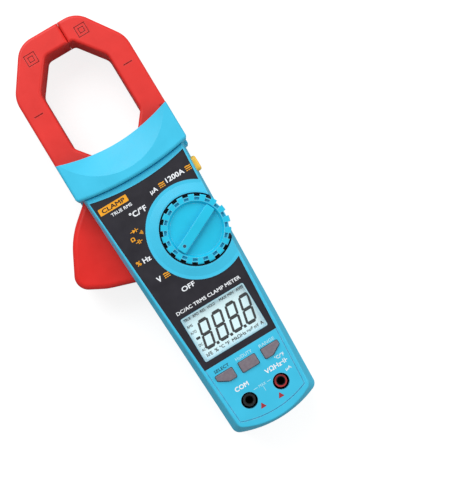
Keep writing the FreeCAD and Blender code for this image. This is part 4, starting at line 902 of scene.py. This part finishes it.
@dataclass
class LabelPrint(Print):
    """White and orange marks round the range knob, the badge and the title line."""

    functions: Tuple[Word, ...] = (
        ("°C/°F", -8.6, 130.0, 3.2, 0.022, 9.6),
        ("µA", 4.0, 135.0, 3.0, 0.02, 4.2),
        ("1200A", 17.2, 136.3, 2.7, 0.022, 10.6),
        ("Hz", -17.3, 106.8, 2.8, 0.024, 4.4),
        ("V", -17.1, 94.6, 2.9, 0.026, None),
        ("OFF", -6.3, 83.8, 2.6, 0.02, 7.6),
    )
    titles: Tuple[Word, ...] = (
        ("DC/AC TRMS CLAMP METER", 0.1, 74.4, 1.9, 0.016, 38.0),
        ("TRUE RMS", -15.2, 135.3, 1.75, 0.014, 12.0),
    )
    currents: Tuple[Point2, ...] = ((9.1, 135.6), (25.3, 136.2), (-12.6, 94.6))
    arcs: Tuple[float, ...] = (0.55, 1.05, 1.55)
    arc_half: float = 0.15
    arc_sides: int = 36
    badge_at: Point2 = (-17.8, 139.3)
    badge_size: Point2 = (16.6, 3.7)

    def both_currents(self, x: float, y: float) -> List[Piece]:
        """The mark for direct and alternating current: a wave over a bar over three dashes."""
        width, dash, line, pitch = 3.3, 0.85, 0.5, 1.2
        parts = [self.words("~", x, y + 1.05, 0.8, 0.03, width), self.bar(x, y, width, line)]
        return parts + [self.bar(x + step * pitch, y - 1.0, dash, line) for step in (-1, 0, 1)]

    def make_symbols(self) -> None:
        """Orange second-function symbols."""
        parts = [self.words("%", -22.0, 106.9, 2.5, 0.02, 2.6)]
        for x, y in self.currents:
            parts += self.both_currents(x, y)
        parts += self.diode(-15.7, 122.5)
        parts.append(self.words("Ω", -18.2, 119.0, 2.2, 0.03, 2.3))
        parts += self.sounder(-13.4, 120.0)
        parts += self.capacitor(-15.9, 116.5, 0.8, (0.4, 2.2), 2.4, (1.3, 0.35))
        self.hand_over(parts, "print_symbols", "print_orange", "label_dark")

    def diode(self, x: float, y: float) -> List[Piece]:
        """A diode: an arrowhead, a bar and its leads."""
        head = Bench.triangle(self.place(x, y), 1.15, 0.12, -math.pi / 2)
        bars = ((1.25, 0.4, 2.2), (-1.3, 1.4, 0.35), (2.0, 1.3, 0.35))
        return [head] + [self.bar(x + along, y, width, height) for along, width, height in bars]

    def sounder(self, x: float, y: float) -> List[Piece]:
        """The continuity mark: a dot and three arcs, each cut from a ring."""
        at = self.place(x, y)
        parts = []
        for radius in self.arcs:
            arc = Bench.ring(at, (radius + self.arc_half) * MM, (radius - self.arc_half) * MM, INK_T,
                             self.arc_sides)
            for side in (1.0, -1.0):
                Bench.cut(arc, at, (-0.7, side * 0.7, 0.0))
            parts.append(arc)
        dot = self.arc_half * 3
        return parts + [self.bar(x, y, dot, dot)]

    def make_badge(self) -> None:
        """An orange badge with one generic word."""
        at = self.place(*self.badge_at)
        plate = Bench.patch(at, self.badge_size, 0.0, 0.4, 3)
        self.hand_over([plate], "print_badge", "print_orange", "label_dark")
        on_badge = (at[0], at[1], at[2] + INK_T + HAIR / 2)
        letters = Bench.lettering("CLAMP", on_badge, 2.3 * MM, 0.024, 13.4 * MM)
        self.hand_over([letters], "print_badge_word", "print_dark", "label_dark")

    def build(self) -> None:
        """Makes all of the label's print."""
        functions = [self.words(*word) for word in self.functions]
        self.hand_over(functions, "print_functions", "print_white", "label_dark")
        self.make_symbols()
        titles = [self.words(*word) for word in self.titles]
        self.hand_over(titles, "print_title", "print_white", "label_dark")
        self.make_badge()


@dataclass
class PanelPrint(Print):
    """Marks on the blue panel below the label: button names, inputs and pointers."""

    layer: Layer = Layer.PANEL
    corner_share: float = 0.2
    pointers: Tuple[Point2, ...] = ((-5.0, 11.4), (5.6, 11.2))

    def make_button_names(self) -> None:
        """The buttons' names above them."""
        self.hand_over([self.words("SELECT", -13.4, 38.9, 1.65, 0.01, 8.6)], "print_select", "print_dark",
                       "case_blue")
        pale = [self.words("Hz/DUTY", -0.2, 38.9, 1.75, 0.01, 9.6),
                self.words("RANGE", 13.3, 38.5, 1.65, 0.01, 9.0)]
        self.hand_over(pale, "print_button_names", "print_pale", "case_blue")

    def make_inputs(self) -> None:
        """The test sockets' names and the bracket between them."""
        parts = [
            self.words("COM", -9.4, 25.5, 2.5, 0.024, 7.8),
            self.words("VΩHz", 9.6, 25.6, 2.7, 0.02, 9.6),
            *self.capacitor(16.35, 25.7, 0.9, (0.4, 2.4), 2.3, (1.2, 0.4)),
            self.words("°C/°F", 15.4, 29.0, 1.9, 0.01, 5.4),
            self.words("µA", 16.2, 21.2, 2.0, 0.01, 3.2),
        ]
        self.hand_over(parts, "print_inputs", "print_white", "case_blue")
        limit = [self.words("MAX", 0.3, 20.9, 1.5, 0.005, 4.0), self.bar(-3.7, 20.9, 2.4, 0.25),
                 self.bar(4.2, 20.9, 2.2, 0.25), self.bar(0.3, 18.6, 0.25, 2.4)]
        self.hand_over(limit, "print_limit", "print_pale", "case_blue")

    def make_pointers(self) -> None:
        """Plain red triangles beside the sockets."""
        parts = [Bench.triangle(self.place(x, y), 1.9, 0.25, segments=3) for x, y in self.pointers]
        self.hand_over(parts, "print_pointers", "print_red", "case_blue")

    def build(self) -> None:
        """Makes all of the panel's print."""
        self.make_button_names()
        self.make_inputs()
        self.make_pointers()


# ---- display ------------------------------------------------------------------------------------------


@dataclass
class Display(Print):
    """Liquid-crystal digits and small annunciators on the glass."""

    layer: Layer = Layer.GLASS
    digit_x: Tuple[float, ...] = (-10.6, -2.4, 5.8, 14.0)
    middle_y: float = 58.2
    height: float = 14.0
    width: float = 4.9
    flat_stroke: float = 1.75
    upright_stroke: float = 1.25
    slant: float = math.radians(12.5)
    gap: float = 0.14
    point_share: float = 0.9
    sign_x: float = -15.6
    sign_size: Point2 = (2.3, 1.3)
    small_weight: float = 0.018
    ledge: float = 0.6 * MM

    def segment(self, x: float, y: float, length: float, stroke: float, turn: float) -> Piece:
        """One segment with pointed ends."""
        return Bench.patch(self.place(x, y), (length, stroke), turn, stroke * 0.42, 2, True)

    def lean(self, x: float, y: float) -> Point2:
        """Moves a place sideways by the digits' slant."""
        return (x + (y - self.middle_y) * math.tan(self.slant), y)

    def digit(self, x: float) -> List[Piece]:
        """The seven segments of one digit."""
        half_h, half_w = self.height / 2, self.width / 2
        flat = self.width - self.gap * 2
        tall = half_h / math.cos(self.slant) - self.gap * 2
        upright = math.pi / 2 - self.slant
        parts = []
        for level in (-half_h, 0.0, half_h):
            parts.append(self.segment(*self.lean(x, self.middle_y + level), flat, self.flat_stroke, 0.0))
        for side in (-half_w, half_w):
            for level in (-half_h / 2, half_h / 2):
                place = self.lean(x + side, self.middle_y + level)
                parts.append(self.segment(*place, tall, self.upright_stroke, upright))
        return parts

    def make_digits(self) -> None:
        """Four digits, their points and the sign."""
        parts = [segment for x in self.digit_x for segment in self.digit(x)]
        side = self.flat_stroke * self.point_share
        for x in self.digit_x[:-1]:
            at = self.place(x + 2.55, self.middle_y - self.height / 2 - 0.2)
            parts.append(Bench.patch(at, (side, side), 0.0, side * 0.2))
        parts.append(Bench.patch(self.place(self.sign_x, self.middle_y), self.sign_size, 0.0, 0.2))
        self.hand_over(parts, "lcd_digits", "segment_black", "lcd_glass")

    def make_annunciators(self) -> None:
        """Small words round the digits: each one's text, place, height and width."""
        lines = (
            ("TRUE", -15.6, 69.3, 1.5, 3.9), ("APO", -10.7, 69.3, 1.5, 3.6), ("REL", -6.2, 69.3, 1.5, 3.2),
            ("HOLD", -1.2, 69.3, 1.5, 4.4), ("MAX MIN", 7.9, 69.3, 1.5, 8.4), ("AVG", 15.6, 69.3, 1.5, 3.8),
            ("RMS", -16.2, 65.6, 1.5, 3.0), ("AUTO", -16.2, 62.0, 1.5, 3.4), ("DC", -16.2, 54.6, 1.5, 2.2),
            ("AC", -16.2, 51.6, 1.5, 2.2), ("hFE", -14.8, 48.2, 1.9, 3.4), ("%", -10.6, 48.2, 1.9, 1.9),
            ("°C", -7.3, 48.2, 1.9, 2.6), ("°F", -3.9, 48.2, 1.9, 2.4), ("MkΩHz", 2.9, 48.2, 1.9, 8.2),
            ("nµF", 9.6, 48.2, 1.9, 3.8), ("mV", 13.4, 48.2, 1.9, 2.8), ("A", 16.6, 48.2, 1.9, 1.7),
        )
        parts = [self.words(text, x, y, height, self.small_weight, width)
                 for text, x, y, height, width in lines]
        self.hand_over(parts, "lcd_annunciators", "segment_black", "lcd_glass")

    def make_border(self) -> None:
        """A pale border on the window that hides its ledge: a plate with its middle inset and opened."""
        low, high = (Vector(corner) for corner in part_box("display_window"))
        centre, inset = (low + high) / 2, 0.1 * MM
        plate = Bench.block((centre.x, centre.y, high.z + HAIR * 2),
                            (high.x - low.x - inset, high.y - low.y - inset, INK_T / 2), 0.0, 0.7 * MM, 3)
        Bench.open_middle(plate, self.ledge)
        self.work.hand_over(plate, "window_border", "lcd_border", "lcd_glass")

    def build(self) -> None:
        """Makes the display's segments and the window's border."""
        self.make_digits()
        self.make_annunciators()
        self.make_border()


@dataclass
class JawMarkShade:
    """Darker red plates on the floors of the moulded marks near the jaws' tips: painted shade for the
    grooves, in millimetres.
    """

    front: Front
    work: Piecework
    square_at: Point2 = (15.2, 227.4)
    square_halves: Tuple[float, ...] = (3.2, 1.6)
    line_at: Point2 = (27.0, 200.15)
    line_size: Point2 = (5.2, 0.7)
    groove: float = 0.5
    depth: float = 0.4
    clearance: float = 0.05
    fill: float = 0.1
    corner: float = 0.1

    def plate(self, at: Point2, floor_z: float, size: Sequence[float]) -> Piece:
        """A plate on the grooves' floor.

        Args:
            at: Its middle, in metres.
            floor_z: The floor's height, in metres.
            size: Its width and height.

        Returns:
            The new object.
        """
        return Bench.block((*at, floor_z + self.fill * MM / 2), (size[0] * MM, size[1] * MM, self.fill * MM),
                           0.0, self.corner * MM)

    def build(self) -> None:
        """Makes the painted shade in both jaws' marks: square frames and a line."""
        for side, body, node in ((-1, Body.JAW, "moving_jaw_front"), (1, Body.METER, "fixed_jaw_front")):
            floor_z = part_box(node)[1][2] - self.depth * MM + HAIR
            square, line = ((side * x * MM, self.front.low_y + y * MM)
                            for x, y in (self.square_at, self.line_at))
            parts = []
            for half in self.square_halves:
                width = (half - self.clearance) * 2
                parts.append(self.plate(square, floor_z, (width, width)))
                Bench.open_middle(parts[-1], (self.groove - self.clearance * 2) * MM)
            parts.append(self.plate(line, floor_z, [v - self.clearance * 2 for v in self.line_size]))
            name = node.replace("front", "marks")
            self.work.hand_over(Bench.join(parts, name), name, "mark_shade_red", "jaw_red", body)


@dataclass
class KnobWellShade:
    """A dark ring at the foot of the knob's pocket: painted shade for the deep gap round the knob."""

    work: Piecework
    clearance: float = 0.06 * MM
    knob_gap: float = 0.85 * MM
    depth: float = 3.5 * MM
    under_knob: float = 2.4 * MM
    thickness: float = 0.2 * MM
    side_margin: float = 3.2 * MM
    side_slope: float = -0.04

    def build(self) -> None:
        """Makes the painted-shade ring round the knob's foot, cut off where the pocket breaks through the
        case's side.
        """
        low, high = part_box("range_knob")
        centre_x = (low[0] + high[0]) / 2
        centre_y = (low[1] + high[1]) / 2
        radius = (high[0] - low[0]) / 2
        floor_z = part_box("front_label")[1][2] - self.depth
        ring = Bench.ring((centre_x, centre_y, floor_z), radius + self.knob_gap - self.clearance,
                          radius - self.under_knob, self.thickness)
        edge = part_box("front_case")[1][0] - self.side_margin
        Bench.cut(ring, (edge, centre_y, 0.0), (1.0, self.side_slope, 0.0))
        self.work.hand_over(ring, "knob_well_shade_ring", "well_shade_black", "pad_rubber")


# ---- studio -------------------------------------------------------------------------------------------


@dataclass
class Studio:
    """Floor, lights, world and camera. Each lamp has its place, size and watts."""

    camera_at: Place = (-5.25 * MM, 11.03 * MM, 650.0 * MM)
    roll: float = math.radians(31.095)
    tilt_x: float = math.radians(1.156)
    tilt_y: float = math.radians(-2.346)
    focal: float = 1191.3
    frame_width: int = 453
    world_level: float = 0.52
    floor_size: float = 6.0
    floor_drop: float = 0.2 * MM
    floor_greys: Point2 = (0.27, 0.29)
    floor_glow: float = 0.8
    key: Tuple[Place, float, float] = ((-0.06, 0.84, 0.76), 0.9, 10.8)
    fill: Tuple[Place, float, float] = ((0.85, -0.25, 0.6), 0.8, 4.2)
    aim: Place = (0.0, 0.02, 0.02)

    def floor(self) -> None:
        """A pale floor that shows white but keeps the object's shadow."""
        Bench.clear()
        bpy.ops.mesh.primitive_plane_add(size=self.floor_size, location=(0.0, 0.0, -self.floor_drop))
        floor = bpy.context.object
        floor.name = "studio_floor"
        w = Wiring("studio_floor")
        dark, pale = ((grey, grey, grey) for grey in self.floor_greys)
        w.paint(w.blend(w.mottle(60.0, detail=3.0), dark, pale))
        w.set(Roughness=0.8)
        glow = w.node("Emission")
        rays = w.node("LightPath")
        level = w.remap(rays.outputs["Is Camera Ray"], 0.0, 1.0, 0.0, self.floor_glow)
        w.link(level, glow.inputs["Strength"])
        both = w.node("AddShader")
        w.link(w.shader.outputs[0], both.inputs[0])
        w.link(glow.outputs[0], both.inputs[1])
        w.link(both.outputs[0], w.output.inputs["Surface"])
        floor.data.materials.append(w.material)

    def world(self) -> None:
        """Even white surroundings, full white where the camera sees them."""
        world = bpy.data.worlds.new("studio")
        bpy.context.scene.world = world
        world.use_nodes = True
        nodes, links = world.node_tree.nodes, world.node_tree.links
        background = nodes["Background"]
        background.inputs["Color"].default_value = (1.0, 1.0, 1.0, 1.0)
        rays = nodes.new("ShaderNodeLightPath")
        level = nodes.new("ShaderNodeMapRange")
        level.inputs[3].default_value = self.world_level
        level.inputs[4].default_value = 1.0
        links.new(rays.outputs["Is Camera Ray"], level.inputs[0])
        links.new(level.outputs[0], background.inputs["Strength"])

    def lamp(self, name: str, at: Sequence[float], size: float, watts: float) -> None:
        """A square soft light aimed at the object's middle."""
        data = bpy.data.lights.new(name, "AREA")
        data.shape = "SQUARE"
        data.size = size
        data.energy = watts
        lamp = bpy.data.objects.new(name, data)
        lamp.location = at
        ray = Vector(self.aim) - Vector(at)
        lamp.rotation_euler = ray.to_track_quat("-Z", "Y").to_euler()
        bpy.context.scene.collection.objects.link(lamp)

    def camera(self) -> None:
        """A camera nearly straight above the front, rolled so that the jaws point up and to the left."""
        data = bpy.data.cameras.new("camera")
        data.sensor_fit = "HORIZONTAL"
        data.sensor_width = 36.0
        data.lens = self.focal * data.sensor_width / self.frame_width
        data.clip_start = 0.01
        data.clip_end = 20.0
        camera = bpy.data.objects.new("camera", data)
        tilt = Vector((self.tilt_x, self.tilt_y, 0.0))
        turn = Matrix.Rotation(-self.roll, 4, "Z") @ Matrix.Rotation(tilt.length, 4, tilt.normalized())
        camera.matrix_world = Matrix.Translation(Vector(self.camera_at)) @ turn
        bpy.context.scene.collection.objects.link(camera)
        bpy.context.scene.camera = camera

    def build(self) -> None:
        """Sets the whole studio up."""
        self.floor()
        self.world()
        self.lamp("key", *self.key)
        self.lamp("fill", *self.fill)
        self.camera()
        bpy.context.scene.view_settings.view_transform = "Standard"


def main() -> None:
    """Builds the finishes, the pieces and the studio in order."""
    logging.basicConfig(level=logging.INFO, format="%(message)s")
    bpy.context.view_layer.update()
    book = FinishBook()
    book.build()
    book.dress_frame()
    front = Front()
    work = Piecework(book)
    LabelPrint(front, work).build()
    PanelPrint(front, work).build()
    Display(front, work).build()
    JawMarkShade(front, work).build()
    KnobWellShade(work).build()
    Studio().build()
    LOG.info("%d new pieces", work.count)


if __name__ == "__main__":
    main()
